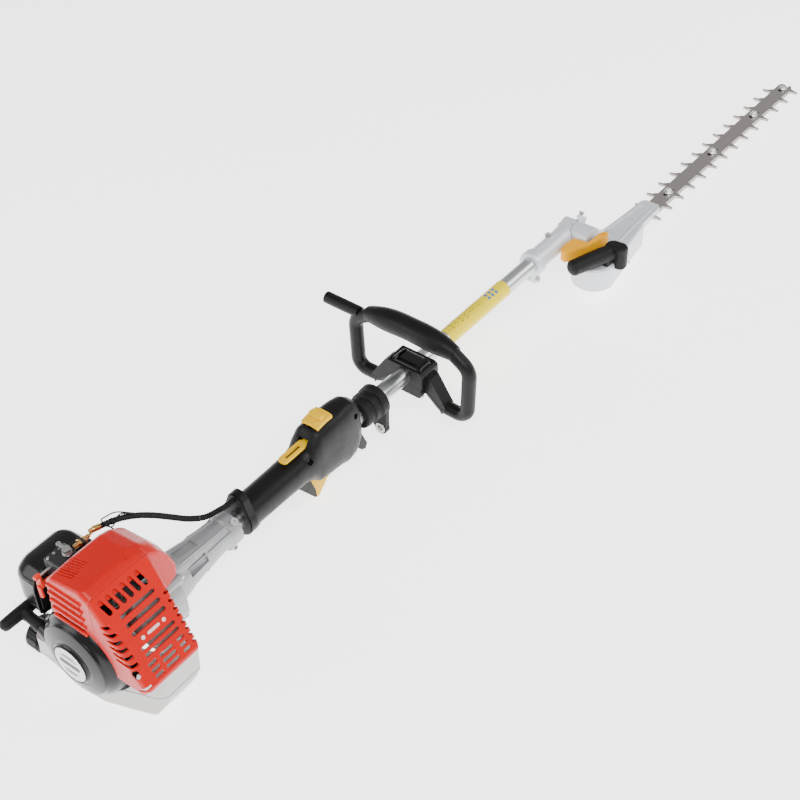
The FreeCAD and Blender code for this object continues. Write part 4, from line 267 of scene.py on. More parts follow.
CASTINGS = {
    # look: material, colour, roughness, metallic, grain, grain depth, grime
    "silver": ("silver_casting", (0.31, 0.315, 0.325), 0.42, 0.6),
    "alloy": ("bare_alloy", (0.34, 0.345, 0.35), 0.46, 0.9),
    "dark_alloy": ("dark_alloy", (0.035, 0.035, 0.038), 0.4, 0.6),
    "white_cast": ("pale_painted_casting", (0.66, 0.68, 0.72), 0.36, 0.25, 420, 0.22, 0.14),
    "burnt": ("muffler_steel", (0.22, 0.21, 0.20), 0.5, 0.8, 300, 0.4, 0.5),
}
METALS = {
    # look: material, colour, roughness, stretch of its lines, their depth, tarnish
    "tube": ("drawn_tube", (0.58, 0.59, 0.60), 0.3, (5, 260, 260), 0.06, 0.1),
    "steel": ("turned_steel", (0.42, 0.425, 0.43), 0.3),
    "zinc": ("zinc_fasteners", (0.50, 0.50, 0.49), 0.34, (90, 90, 90), 0.2),
    "bright": ("bright_steel", (0.85, 0.85, 0.84), 0.25, (90, 90, 90), 0.1, 0.1),
    "blade": ("ground_blade", (0.47, 0.43, 0.41), 0.36, (40, 420, 300), 0.1, 0.3),
    "brass": ("brass", (0.62, 0.38, 0.13), 0.28, (60, 60, 60)),
}
LOOKS = {look: kind(*row)
         for kind, rows in ((plastic, PLASTICS), (casting, CASTINGS), (machined, METALS))
         for look, row in rows.items()}
LOOKS["tank"] = milky("milky_tank")
LOOKS["foam"] = foam("filter_foam")
LOOKS["cord"] = braid("cord_braid", (0.04, 0.04, 0.04))

NODE_LOOKS = {
    "red": ["cylinder_cover", "muffler_cover"],
    "black": ["grip_left_shell", "grip_right_shell", "loop_handle", "loop_clamp_cap", "starter_housing",
              "air_cleaner_knob", "air_filter_base", "intake_block", "fuel_cap", "starter_handle",
              "starter_pulley", "adjusting_grip", "throttle_cable", "plug_cap_and_lead", "index_pin"],
    "gloss_black": ["air_cleaner_cover"],
    "rubber": ["hanger_collar"],
    "yellow": ["throttle_trigger", "lockout_lever", "stop_switch", "release_lever"],
    "orange": ["choke_lever"],
    "silver": ["clutch_case", "fan_case", "crankcase"],
    "alloy": ["cylinder", "flywheel", "carburettor", "piston_and_rod"],
    "white_cast": ["upper_gearcase", "cutter_gearcase", "gearcase_cover"],
    "tube": ["drive_tube"],
    "steel": ["drive_shaft", "shaft_bearings", "clutch_drum", "clutch_rotor", "crankshaft", "pivot_gear",
              "jack_shaft", "eccentric_gear", "throttle_arm", "ignition_coil", "spark_plug", "pivot_bolt",
              "strap_eyelet"],
    "zinc": ["frame_fasteners", "cutter_case_fasteners", "blade_bolts"],
    "blade": ["upper_blade", "lower_blade", "blade_guide_bar"],
    "burnt": ["muffler"],
    "brass": ["cable_adjuster"],
    "tank": ["fuel_tank"],
    "foam": ["air_filter_foam"],
    "cord": ["starter_rope"],
    "bulb": ["primer_bulb"],
}


def paint(obj, look):
    obj.data.materials.clear()
    obj.data.materials.append(LOOKS[look])


def smooth(obj, angle=35):
    for face in obj.data.polygons:
        face.use_smooth = True
    obj.data.set_sharp_from_angle(angle=math.radians(angle))


for look, names in NODE_LOOKS.items():
    for name in names:
        paint(nodes[name], look)
        smooth(nodes[name])


# Mesh helpers

def link(obj):
    bpy.context.scene.collection.objects.link(obj)
    return obj


def mesh_object(name, verts, faces=()):
    mesh = bpy.data.meshes.new(name)
    mesh.from_pydata([tuple(c * MM for c in v) for v in verts], [], [tuple(f) for f in faces])
    mesh.update()
    return link(bpy.data.objects.new(name, mesh))


@contextmanager
def editing(obj):
    """The object's mesh as a bmesh, written back when done."""
    mesh = bmesh.new()
    mesh.from_mesh(obj.data)
    yield mesh
    mesh.to_mesh(obj.data)
    mesh.free()


def hull(name, points):
    """The convex solid around points given in millimetres."""
    obj = mesh_object(name, points)
    with editing(obj) as mesh:
        bmesh.ops.convex_hull(mesh, input=mesh.verts)
        bmesh.ops.dissolve_limit(mesh, angle_limit=math.radians(0.8), verts=mesh.verts, edges=mesh.edges)
        bmesh.ops.recalc_face_normals(mesh, faces=mesh.faces)
    return obj


def prism_faces(count):
    """Both ends and the sides of a prism, its corners listed one end after the other."""
    faces = [tuple(range(count))[::-1], tuple(range(count, 2 * count))]
    return faces + [(n, (n + 1) % count, (n + 1) % count + count, n + count) for n in range(count)]


def prism_of(name, outline, axis, low, high):
    """A prism: (a, b) corners in the plane across the axis, from low to high."""
    def spot(a, b, c):
        return {"x": (c, a, b), "y": (a, c, b), "z": (a, b, c)}[axis]
    count = len(outline)
    verts = [spot(a, b, low) for a, b in outline] + [spot(a, b, high) for a, b in outline]
    return outward(mesh_object(name, verts, prism_faces(count)))


def outward(obj):
    with editing(obj) as mesh:
        bmesh.ops.recalc_face_normals(mesh, faces=mesh.faces)
    return obj


def settle(obj):
    """Makes the object's modifiers part of its mesh."""
    graph = bpy.context.evaluated_depsgraph_get()
    mesh = bpy.data.meshes.new_from_object(obj.evaluated_get(graph))
    obj.modifiers.clear()
    obj.data = mesh
    return obj


def discard(obj):
    bpy.data.objects.remove(obj, do_unlink=True)


def carve(obj, *cutters, mode="DIFFERENCE"):
    """Boolean with each cutter in turn; the cutters are used up."""
    for cutter in cutters:
        tool = obj.modifiers.new("carve", "BOOLEAN")
        tool.operation = mode
        tool.solver = "EXACT"
        tool.object = cutter
        settle(obj)
        discard(cutter)
    return obj


def bevel(obj, width, segments, limit, **settings):
    """Bevels by width in millimetres; limit and settings are the modifier's own."""
    tool = obj.modifiers.new("bevel", "BEVEL")
    tool.limit_method = limit
    tool.width = width * MM
    tool.segments = segments
    for key, value in settings.items():
        setattr(tool, key, value)
    return settle(obj)


def round_edges(obj, width, segments=3, angle=30, pick=None):
    """Rounds sharp edges by width in millimetres; pick(edge, middle) may give each edge a share of it."""
    with editing(obj) as mesh:
        bmesh.ops.remove_doubles(mesh, verts=mesh.verts, dist=1e-6)
        layer = mesh.edges.layers.float.new("bevel_weight_edge")
        for edge in mesh.edges:
            sharp = len(edge.link_faces) == 2 and edge.calc_face_angle(0) > math.radians(angle)
            share = 0.0
            if sharp:
                middle = (edge.verts[0].co + edge.verts[1].co) / 2 / MM
                share = 1.0 if pick is None else pick(edge, middle)
            edge[layer] = share
    bevel(obj, width, segments, "WEIGHT", use_clamp_overlap=False, miter_outer="MITER_ARC")
    attribute = obj.data.attributes.get("bevel_weight_edge")
    if attribute:
        obj.data.attributes.remove(attribute)
    return obj


def crisp(obj, width=0.4, segments=2, angle=38):
    """Rounds the sharp rims left by cutting."""
    return bevel(obj, width, segments, "ANGLE", angle_limit=math.radians(angle), use_clamp_overlap=False)


def shade(obj, look, angle=40):
    """Gives the look, and shades by face size so that flats stay flat."""
    paint(obj, look)
    for face in obj.data.polygons:
        face.material_index = 0
    smooth(obj, angle)
    weighted = obj.modifiers.new("shade", "WEIGHTED_NORMAL")
    weighted.keep_sharp = True
    weighted.weight = 60
    return settle(obj)


def join(name, parts):
    """One object from several that stand at the origin."""
    mesh = bmesh.new()
    for part in parts:
        mesh.from_mesh(part.data)
        discard(part)
    data = bpy.data.meshes.new(name)
    mesh.to_mesh(data)
    mesh.free()
    return link(bpy.data.objects.new(name, data))


def pill(length, height, depth, steps=8):
    """A round-ended slot's outline swept through depth: verts and faces, length along its own X."""
    outline = []
    for side in (1, -1):
        for n in range(steps + 1):
            turn = math.pi * (n / steps - 0.5) + (0 if side > 0 else math.pi)
            outline.append((side * (length - height) / 2 + height / 2 * math.cos(turn),
                            height / 2 * math.sin(turn)))
    count = len(outline)
    verts = [(a, b, -depth / 2) for a, b in outline] + [(a, b, depth / 2) for a, b in outline]
    return verts, prism_faces(count)


def turned(verts, matrix):
    return [tuple(matrix @ Vector(v)) for v in verts]


def frame_of(spot, along, normal):
    """A matrix whose X runs along and whose Z is the normal, at a spot in millimetres."""
    along = Vector(along).normalized()
    normal = Vector(normal)
    normal = (normal - along * normal.dot(along)).normalized()
    across = normal.cross(along)
    turn = Matrix((along, across, normal)).transposed().to_4x4()
    return Matrix.Translation(Vector(spot)) @ turn


def plate(matrix, length, height, depth, name="mark"):
    """A thin round-ended plate, its length along the matrix's X."""
    verts, faces = pill(length, height, depth)
    return mesh_object(name, turned(verts, matrix), faces)


def spoke(turn):
    """The unit way out from the tube's axis, turned from +Y towards +Z."""
    return Vector((0, math.cos(turn), math.sin(turn)))


def pills(name, rows):
    """Cutters: (matrix, length, height, depth) rows joined as one object."""
    verts, faces = [], []
    for matrix, length, height, depth in rows:
        v, f = pill(length, height, depth)
        faces += [tuple(i + len(verts) for i in face) for face in f]
        verts += turned(v, matrix)
    return outward(mesh_object(name, verts, faces))


def lathe(name, profile, steps=96, axis="x", at=(0, 0)):
    """A closed turned solid: profile is (along, radius) corners, about a line through at."""
    verts, faces = [], []
    count = len(profile)
    for n in range(steps):
        turn = 2 * math.pi * n / steps
        c, s = math.cos(turn), math.sin(turn)
        for along, radius in profile:
            a, b = at[0] + radius * c, at[1] + radius * s
            verts.append({"x": (along, a, b), "y": (a, along, b), "z": (a, b, along)}[axis])
    for n in range(steps):
        following = (n + 1) % steps
        for k in range(count):
            j = (k + 1) % count
            faces.append((n * count + k, n * count + j, following * count + j, following * count + k))
    obj = mesh_object(name, verts, faces)
    with editing(obj) as mesh:
        bmesh.ops.remove_doubles(mesh, verts=mesh.verts, dist=1e-6)
        bmesh.ops.dissolve_degenerate(mesh, dist=1e-7, edges=mesh.edges)
        bmesh.ops.recalc_face_normals(mesh, faces=mesh.faces)
    return obj


def aim(obj, start, way):
    """Moves a piece made along +X from 0 so that it starts at a spot and runs along way."""
    turn = Vector((1, 0, 0)).rotation_difference(Vector(way).normalized()).to_matrix().to_4x4()
    obj.data.transform(Matrix.Translation(Vector(start) * MM) @ turn)
    return obj


def tube_path(points, steps=8):
    """A smooth curve through points, as many samples between each pair."""
    spots = [Vector(p) for p in points]
    spots = [spots[0] * 2 - spots[1]] + spots + [spots[-1] * 2 - spots[-2]]
    out = []
    for n in range(1, len(spots) - 2):
        a, b, c, d = spots[n - 1:n + 3]
        for k in range(steps):
            t = k / steps
            out.append(0.5 * (2 * b + (c - a) * t + (2 * a - 5 * b + 4 * c - d) * t * t
                              + (3 * b - a - 3 * c + d) * t ** 3))
    return out + [spots[-2]]


def sweep(name, path, radius, sides=16):
    """A round bar along a path in millimetres; radius is a number or a function of the share along."""
    verts, faces = [], []
    across = None
    total = len(path)
    for n, spot in enumerate(path):
        ahead = (path[min(n + 1, total - 1)] - path[max(n - 1, 0)]).normalized()
        if across is None:
            across = ahead.orthogonal().normalized()
        across = (across - ahead * across.dot(ahead)).normalized()
        up = ahead.cross(across)
        size = radius(n / (total - 1)) if callable(radius) else radius
        for k in range(sides):
            turn = 2 * math.pi * k / sides
            verts.append(spot + (across * math.cos(turn) + up * math.sin(turn)) * size)
    for n in range(total - 1):
        for k in range(sides):
            j = (k + 1) % sides
            faces.append((n * sides + k, n * sides + j, (n + 1) * sides + j, (n + 1) * sides + k))
    faces.append(tuple(range(sides))[::-1])
    faces.append(tuple(range((total - 1) * sides, total * sides)))
    return outward(mesh_object(name, verts, faces))


def resample(path, pitch):
    """Evenly spaced points along a path."""
    out, left = [path[0]], pitch
    for a, b in zip(path, path[1:]):
        run = (b - a).length
        done = 0.0
        while run - done >= left:
            done += left
            out.append(a + (b - a) * (done / run))
            left = pitch
        left -= run - done
    return out


def place_piece(obj, look, body="frame", stands_for=(), angle=40):
    """Gives a piece its look and its body, and hides the CAD nodes it stands for."""
    shade(obj, look, angle)
    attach(obj, body)
    if stands_for:
        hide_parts(*stands_for)
    return obj


# The red covers

WALL = 2.4
SEAM = -38  # where the two covers meet, across Y
SEAM_GAP = 0.12
SLOT_CUT = 14  # depth of the cutters for the slots
SLOPE_TOP = Vector((0, -38, 121))
SLOPE_WAY = Vector((0, -0.583, -0.812)).normalized()
SLOPE_OUT = Vector((0, -0.812, 0.583)).normalized()


def on_slope(along, down, out=0.0):
    """A point of the leaning side: along X, down its slope, out of its face."""
    return Vector((along, 0, 0)) + SLOPE_TOP + SLOPE_WAY * down + SLOPE_OUT * out


def main_points(inset):
    """The body of both covers: level top, leaning right side, upright left side and back."""
    points = []
    left = 35 - inset
    low = 7 - inset * 4
    crest, foot = on_slope(0, 0, -inset), on_slope(0, 130, -inset)
    rows = ((-600 + inset, 108, 118, 127, 0), (-560, 110, 121, 129, 0), (-522, 109, 121, 127, 0),
            (-506 - inset, 104, 117, 121.6, 1))
    for x, shoulder, top, ridge, lean in rows:
        points += [(x, left, low), (x, left, shoulder - inset), (x, left - 9, top - inset),
                   (x, -26, ridge - inset), (x, crest.y, crest.z), (x - 7 * lean, foot.y, foot.z),
                   (x - 9 * lean, foot.y + 5, low)]
    return points


def hood_points(inset):
    """The raised hood in front, over the plug and the head of the cylinder."""
    points = []
    rows = ((-546, 102, 115, 125, 0), (-522, 110.6, 122.6, 128.8, 0), (-505, 105.4, 118.4, 123.4, 0),
            (-488, 95, 108, 112, 6), (-474, 77, 87, 92, 13), (-466 - inset, 59, 67, 70, 18))
    for x, shoulder, top, ridge, lift in rows:
        points += [(x, 34.4 - inset, 8 - inset * 4), (x, 34.4 - inset, shoulder - inset),
                   (x, 25.5, top - inset), (x, -24 + lift * 0.4, ridge - inset),
                   (x, SEAM + 1.2 + inset, ridge - 8 - inset), (x, SEAM + 1.2 + inset, 30 - inset * 4 + lift)]
    return points


def main_share(edge, middle):
    """Sharp at the open foot, broadest at the leaning side's rear corner."""
    if middle.z < 10:
        return 0.0
    return 1.0 if middle.x < -598 and middle.y < -30 else 0.6


def shell_block():
    """Both covers in one hollow block, so that their surfaces run on across the seam."""
    body = round_edges(hull("covers", main_points(0)), 7.5, 5, 8, main_share)
    hood = round_edges(hull("hood", hood_points(0)), 4.6, 4, 12)
    carve(body, hood, mode="UNION")
    room = round_edges(hull("room", main_points(WALL)), 5, 4, 8, main_share)
    front_room = round_edges(hull("front_room", hood_points(WALL)), 2, 2, 12)
    carve(body, room, front_room)
    drum = lathe("drum", [(-660, 0), (-660, 63.5), (-532, 63.5), (-532, 0)], 128)
    ring = lathe("ring", [(-516, 0), (-516, 52.5), (-440, 52.5), (-440, 0)], 128)
    return carve(body, drum, ring)


def half_space(high):
    """A block that keeps the left of the seam, or the right of it."""
    side = 1 if high else -1
    edge = SEAM + side * SEAM_GAP
    outline = [(-700, edge), (-400, edge), (-400, side * 200), (-700, side * 200)]
    return prism_of("keep", outline, "z", -60, 260)


def top_cover():
    body = carve(shell_block(), half_space(True), mode="INTERSECT")
    rows = []
    for n in range(4):  # the long slots of the rear wall
        spot = (-600, 3 - n * 0.8, 99.7 - 12.6 * n)
        rows.append((frame_of(spot, (0, 1, 0), (-1, 0, 0)), 50 - 2 * n, 4.4, 3.4))
    carve(body, pills("rear_slots", rows))
    rows = []
    for n in range(8):  # the fan of fine grooves on the top's left edge
        spot = (-588 + 3.7 * n, 13.5, 121.0 + 0.17 * n)
        rows.append((frame_of(spot, (-0.12, 1, -0.168), (0, 0.166, 1)), 31 - 0.8 * n, 1.7, 2.4))
    carve(body, pills("grooves", rows))
    intake = prism_of("intake", [(-549, 51), (-523, 51), (-523, 81), (-538, 81), (-538, 96), (-572, 96),
                                 (-572, 62), (-549, 62)], "y", 25, 45)
    carve(body, intake)
    crisp(body, 0.45)
    place_piece(body, "red", stands_for=["cylinder_cover"], angle=50)
    ribs = []
    for n in range(5):  # bars that stand proud between the rear slots
        z = 106 - 12.6 * n
        rib = prism_of("rib", [(-602.6, z - 1.9), (-599, z - 2.9), (-599, z + 2.9), (-602.6, z + 1.9)], "y",
                       -24 - n * 0.4, 31 - n * 0.5)
        ribs.append(round_edges(rib, 1.1, 3, 20))
    place_piece(join("rear_ribs", ribs), "red")


def side_cover():
    body = carve(shell_block(), half_space(False), mode="INTERSECT")
    rows = []

    def bar(x_from, x_to, down, height):
        middle = on_slope((x_from + x_to) / 2, down)
        rows.append((frame_of(middle, (1, 0, 0), SLOPE_OUT), x_to - x_from, height, SLOT_CUT))
    for n in range(6):  # the short leaning slots under the ridge
        spot = on_slope(-586 + 11.3 * n, 18.5)
        rows.append((frame_of(spot, SLOPE_WAY + Vector((0.25, 0, 0)), SLOPE_OUT), 23, 6.6, SLOT_CUT))
    for down, height in ((39.5, 4.6), (52, 5.2), (64, 5.2), (84.5, 4.2), (93.5, 4.2)):
        bar(-577, -524, down, height)
    for down in (104.5, 112.5, 120.5):
        for x_from, x_to in ((-581, -568), (-563, -542), (-535, -524)):
            bar(x_from, x_to, down, 4.2)
    for n, down in enumerate((51, 62, 73, 82, 92, 100.5, 109, 118)):
        spot = on_slope(-512.5 - 0.3 * n, down, -3)
        rows.append((frame_of(spot, (1, 0, 0), Vector((0.75, 0, 0)) + SLOPE_OUT), 9, 4, 22))
    carve(body, pills("side_slots", rows))
    bands = []
    ends = ((-47, -585), (-50, -584.5), (-55, -585), (-57, -586), (-61, -585), (-64, -587))
    for n, (left, right) in enumerate(ends):
        z = 121 - 0.812 * (40 + 10.8 * n)  # level slots that run round the rear corner
        outline = [(-612, left), (-602, left), (-590, left - 18), (right + 2, -140), (-612, -140)]
        bands.append(prism_of("band", outline, "z", z - 2.1, z + 2.1))
    carve(body, *bands)
    rows = [(frame_of(on_slope(-596, 104, -6), SLOPE_WAY, Vector((-0.8, 0, 0)) + SLOPE_OUT), 12, 9, 24),
            (frame_of(on_slope(-596, 124, -6), Vector((0.8, 0, 0)) + SLOPE_OUT * 0.6,
                      Vector((-0.6, 0, 0)) + SLOPE_OUT), 16, 3, 20)]
    carve(body, pills("foot_slots", rows))
    crisp(body, 0.45)
    place_piece(body, "red", stands_for=["muffler_cover"], angle=50)
    spot = on_slope(-556.5, 11.0, -3.8)
    backing = plate(frame_of(spot, (1, 0, 0), SLOPE_OUT), 70, 8, 1.2, "slot_backing")
    place_piece(crisp(backing, 0.3), "red")
    marks = []
    for x, length, height in ((-567.5, 5.4, 5.2), (-551, 19, 3.6), (-534.5, 5.4, 5.2)):
        marks.append(plate(frame_of(on_slope(x, 74.2, 0.2), (1, 0, 0), SLOPE_OUT), length, height, 0.5))
    place_piece(join("side_marks", marks), "mark")


top_cover()
side_cover()


# The recoil starter

ROPE_WAY = spoke(math.radians(10))
ROPE_TOUCH = Vector((-595, 3.13, -17.73))  # where the rope leaves its pulley
LABEL_FACE = -617.0
MARK_DEPTH = 0.3


def arc_profile(corners, radius, steps=4):
    """Corners of a profile rounded by a radius each."""
    out = []
    count = len(corners)
    for n, spot in enumerate(corners):
        if n in (0, count - 1):
            out.append(spot)
            continue
        before, after = Vector(corners[n - 1]), Vector(corners[n + 1])
        here = Vector(spot)
        reach = min(radius, (before - here).length * 0.45, (after - here).length * 0.45)
        start, end = here + (before - here).normalized() * reach, here + (after - here).normalized() * reach
        for k in range(steps + 1):
            t = k / steps
            out.append(tuple(start * (1 - t) ** 2 + here * 2 * t * (1 - t) + end * t * t))
    return out


def starter():
    outside = [(-616, 0), (-616, 27.4), (-613.6, 29), (-613.6, 34), (-611.4, 44), (-609.6, 50.5),
               (-606.4, 52), (-602, 57), (-596, 60), (-588, 61), (-559, 61)]
    profile = arc_profile(outside, 3.2) + [(-559, 58.4), (-590, 58.4), (-606, 50), (-610, 0)]
    body = lathe("starter_drum", profile, 128)
    guide = lathe("guide", arc_profile([(50, 0), (50, 12.6), (54, 12.2), (67, 9.6), (70, 9.4), (70, 3.4),
                                        (66, 2.6), (52, 2.6)], 1.2, 3), 40)
    aim(guide, ROPE_TOUCH, ROPE_WAY)
    lugs = []
    for turn in (20, 140, 200, 290):
        way = spoke(math.radians(turn))
        edge = arc_profile([(-584, 0), (-584, 4.4), (-561, 5.6), (-559, 5.6), (-559, 0)], 1, 2)
        lugs.append(lathe("lug", edge, 24, at=(58.5 * way.y, 58.5 * way.z)))
    vents = []
    for n in range(10):
        turn = math.radians(100 + 16 * n)
        way = spoke(turn)
        vents.append((frame_of(Vector((-574, 0, 0)) + way * 60, (1, 0, 0), way), 16, 4.6, 12))
    carve(body, pills("vents", vents))
    crisp(body, 0.4)
    place_piece(join("starter_shell", [body, guide] + lugs), "gloss_black", stands_for=["starter_housing"],
                angle=45)
    disc = lathe("starter_label", arc_profile([(-616.9, 0), (-616.9, 25.2), (-616.0, 25.6),
                                               (-615.8, 0)], 0.4, 3), 96)
    place_piece(disc, "label")
    ring = lathe("starter_label_ring", arc_profile([(-617.2, 25.4), (-617.4, 26.4), (-617.0, 27.2),
                                                    (-615.6, 27.2), (-615.6, 25.4)], 0.4, 3), 96)
    place_piece(ring, "black")
    marks = []
    for z, length, height in ((14, 18, 1.4), (10.5, 28, 1.4), (-12, 24, 1.4), (-15, 16, 1.4), (0, 34, 7)):
        marks.append(plate(frame_of((LABEL_FACE, 0, z), (0, 1, 0), (-1, 0, 0)), length, height, MARK_DEPTH))
    place_piece(join("starter_label_marks", marks), "ink")

    start = ROPE_TOUCH + ROPE_WAY * 70.3
    stem = lathe("stem", arc_profile([(0, 2.3), (0, 8.6), (3, 9), (14, 7.4), (22, 7.4), (30, 9), (33, 7),
                                      (33, 2.3)], 1.6, 3), 40)
    aim(stem, start, ROPE_WAY)
    centre = start + ROPE_WAY * 34
    path = [centre + Vector((x, 0, 0)) for x in range(-34, 35, 2)]

    def girth(share):
        along = abs(share - 0.5) * 2
        end = math.sqrt(max(0.02, 1 - max(0, (along - 0.82) / 0.18) ** 2))
        return (7.4 + 1.1 * math.cos(along * math.pi * 0.5) ** 0.5) * end
    bar = sweep("bar", path, girth, 24)
    place_piece(join("pull_handle", [stem, bar]), "rubber", "handle", ["starter_handle"])
    rope = [ROPE_TOUCH + ROPE_WAY * d for d in range(14, 94, 4)]
    body = sweep("pull_rope", rope, 1.9, 12)
    shade(body, "cord")
    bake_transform(body)
    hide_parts("starter_rope")


# The air cleaner, carburettor and cable

def air_cleaner():
    back, front, low, high = -592, -498, 11, 80
    outline = [(back, low + 16), (back + 3, low), (front - 18, low), (front, low + 14), (front, high - 20),
               (front - 14, high), (back + 16, high), (back, high - 12)]
    rows = ((72, 0), (95, 0), (106, 4), (112, 10))
    middle = ((back + front) / 2, (low + high) / 2)
    centre = Vector((middle[0], 0, middle[1]))

    def points(inset):
        out = []
        for y, pull in rows:
            for x, z in outline:
                way = Vector((x, 0, z)) - centre
                share = 1 - (pull + inset) / way.length
                out.append((centre.x + way.x * share, y - (inset if y > 72 else 2 * inset),
                            centre.z + way.z * share))
        return out
    body = round_edges(hull("air_cover", points(0)), 5, 4, 8, lambda e, m: 0.2 if m.y < 73 else 1)
    carve(body, round_edges(hull("room", points(2.2)), 3, 3, 8))
    well = lathe("well", arc_profile([(104, 0), (104, 11), (120, 13), (120, 0)], 1, 2), 40, "y", middle)
    hole = lathe("hole", [(60, 0), (60, 3.3), (120, 3.3), (120, 0)], 24, "y", middle)
    carve(body, well, hole)
    crisp(body, 0.4)
    place_piece(body, "gloss_black", stands_for=["air_cleaner_cover"], angle=50)
    ribs = []
    for n in range(5):
        z = low + 14 + 10 * n
        line = tube_path([(back + 8, 100, z), (back + 3, 92, z), (back + 1.2, 84, z), (back + 0.8, 75, z)], 5)
        ribs.append(sweep("rib", line, 1.1, 10))
    rim = []
    for n in range(len(outline)):
        a, b = outline[n], outline[(n + 1) % len(outline)]
        for k in range(6):
            rim.append(Vector((a[0] + (b[0] - a[0]) * k / 6, 73.4, a[1] + (b[1] - a[1]) * k / 6)))
    soft = [sum((rim[(n + k) % len(rim)] for k in (-2, -1, 0, 1, 2)), Vector()) / 5
            for n in range(len(rim) + 1)]
    ribs.append(sweep("rim", soft, 1.7, 10))
    place_piece(join("air_cover_ribs", ribs), "gloss_black")


CARBURETTOR = (-556, 84)  # x and z of its middle
CHOKE = (-588, 62.3, 72)  # the choke lever's hinge
CABLE_ROUTE = ((-318, 5, 31), (-337, 5, 31), (-351, 9.5, 29), (-368, 14, 29.5), (-390, 20, 41),
               (-411, 26, 58), (-433, 32, 76), (-456, 38, 91), (-479, 44, 100), (-500, 49, 103))


def carburettor_details():
    x, z = CARBURETTOR
    parts = []
    for dx, dz in ((-12, -12), (12, -12), (-12, 10), (12, 10)):
        edge = arc_profile([(36.6, 0), (36.6, 2.6), (40.2, 2.6), (40.2, 0)], 0.5, 2)
        parts.append(lathe("screw", edge, 20, "y", (x + dx, z + dz)))
    for dx in (-9, 0, 9):
        edge = arc_profile([(z + 14, 0), (z + 14, 2.1), (z + 16.2, 1.9), (z + 16.2, 0)], 0.4, 2)
        parts.append(lathe("screw", edge, 18, "z", (x + dx - 4, 64)))
    spring = [Vector((x + 6 + 5.8 * math.cos(t * 0.7), 52.3 + 5.8 * math.sin(t * 0.7), z + 14.6 + t * 0.105))
              for t in range(46)]
    parts.append(sweep("spring", spring, 0.5, 8))
    edge = arc_profile([(x - 32, 0), (x - 32, 2), (x - 16, 2), (x - 16, 0)], 0.4, 2)
    parts.append(lathe("needle", edge, 16, "x", (60, z + 4)))
    place_piece(join("carburettor_screws", parts), "zinc")
    hose = tube_path([(x - 4, 60, z - 23), (x - 10, 62, z - 34), (x - 24, 60, 34), (x - 26, 56, 6),
                      (x - 20, 52, -13)], 8)
    place_piece(sweep("fuel_hose", hose, 2.5, 14), "bulb")


def choke():
    """The choke lever: a bent red plate on its spindle, with a thumb pad and a foot."""
    x, y, z = CHOKE
    edge = arc_profile([(x - 2.6, 0), (x - 2.6, 4.6), (x - 2, 5.8), (x + 2, 5.8), (x + 2, 0)], 0.6, 2)
    parts = [lathe("boss", edge, 40, "x", (y, z)),
             lathe("spindle", [(x, 0), (x, 2), (x + 15.8, 2), (x + 15.8, 0)], 24, "x", (y, z))]
    slabs = (  # corners from the hinge, span along X from the hinge, rounding
        ([(-3.4, -2), (3.4, -2), (3.4, 13), (1.5, 18.5), (-3.4, 18.5)], (-2, 2), 1.2),
        ([(-3.6, 13), (3.4, 13), (1.8, 19), (-3.6, 19)], (-7, 1), 1.4),
        ([(1, 2), (-5.6, 1), (-7.4, -15), (-1.2, -17)], (-6, -2.2), 1.3))
    for corners, (low, high), width in slabs:
        slab = prism_of("slab", [(y + a, z + b) for a, b in corners], "x", x + low, x + high)
        parts.append(round_edges(slab, width, 3, 20))
    place_piece(join("choke_lever_body", parts), "orange", "choke", ["choke_lever"],
                angle=50)


def cable():
    fine = resample(tube_path(CABLE_ROUTE, 6), 0.55)
    count = len(fine)

    def ribbed(share):
        n = share * (count - 1)
        return 3.7 + 0.45 * math.sin(n * 2 * math.pi / 6) if 8 < n < count - 12 else 3.4
    body = sweep("throttle_conduit", fine, ribbed, 16)
    place_piece(body, "black", stands_for=["throttle_cable"])
    edge = arc_profile([(0, 0), (0, 3.9), (9, 3.9), (11, 2.8), (15, 2.6), (15, 0)], 0.5, 2)
    ferrule = lathe("ferrule", edge, 28)
    aim(ferrule, CABLE_ROUTE[-1], Vector(CABLE_ROUTE[-1]) - Vector(CABLE_ROUTE[-2]))
    place_piece(ferrule, "brass")
    wires = []
    for side in (1, -1):
        wires.append(sweep("wire", tube_path([
            (-455, 38 + side, 94), (-474, 45 + 3 * side, 106), (-488, 46 + 5 * side, 103 + 5 * side),
            (-498, 44 + 3 * side, 110 + 2 * side), (-494, 36, 104), (-490, 30, 96)], 8), 0.9, 10))
    place_piece(join("stop_wires", wires), "black")
    ties = []
    for n in (int(count * 0.3), int(count * 0.93)):
        here, ahead = fine[n], fine[n + 1]
        tie = lathe("tie", arc_profile([(-1.6, 2.9), (-1.6, 4.1), (1.6, 4.1), (1.6, 2.9)], 0.4, 2), 24)
        ties.append(aim(tie, here, ahead - here))
    place_piece(join("cable_ties", ties), "gloss_black")


starter()
air_cleaner()
carburettor_details()
choke()
cable()


# Softened copies of the CAD nodes

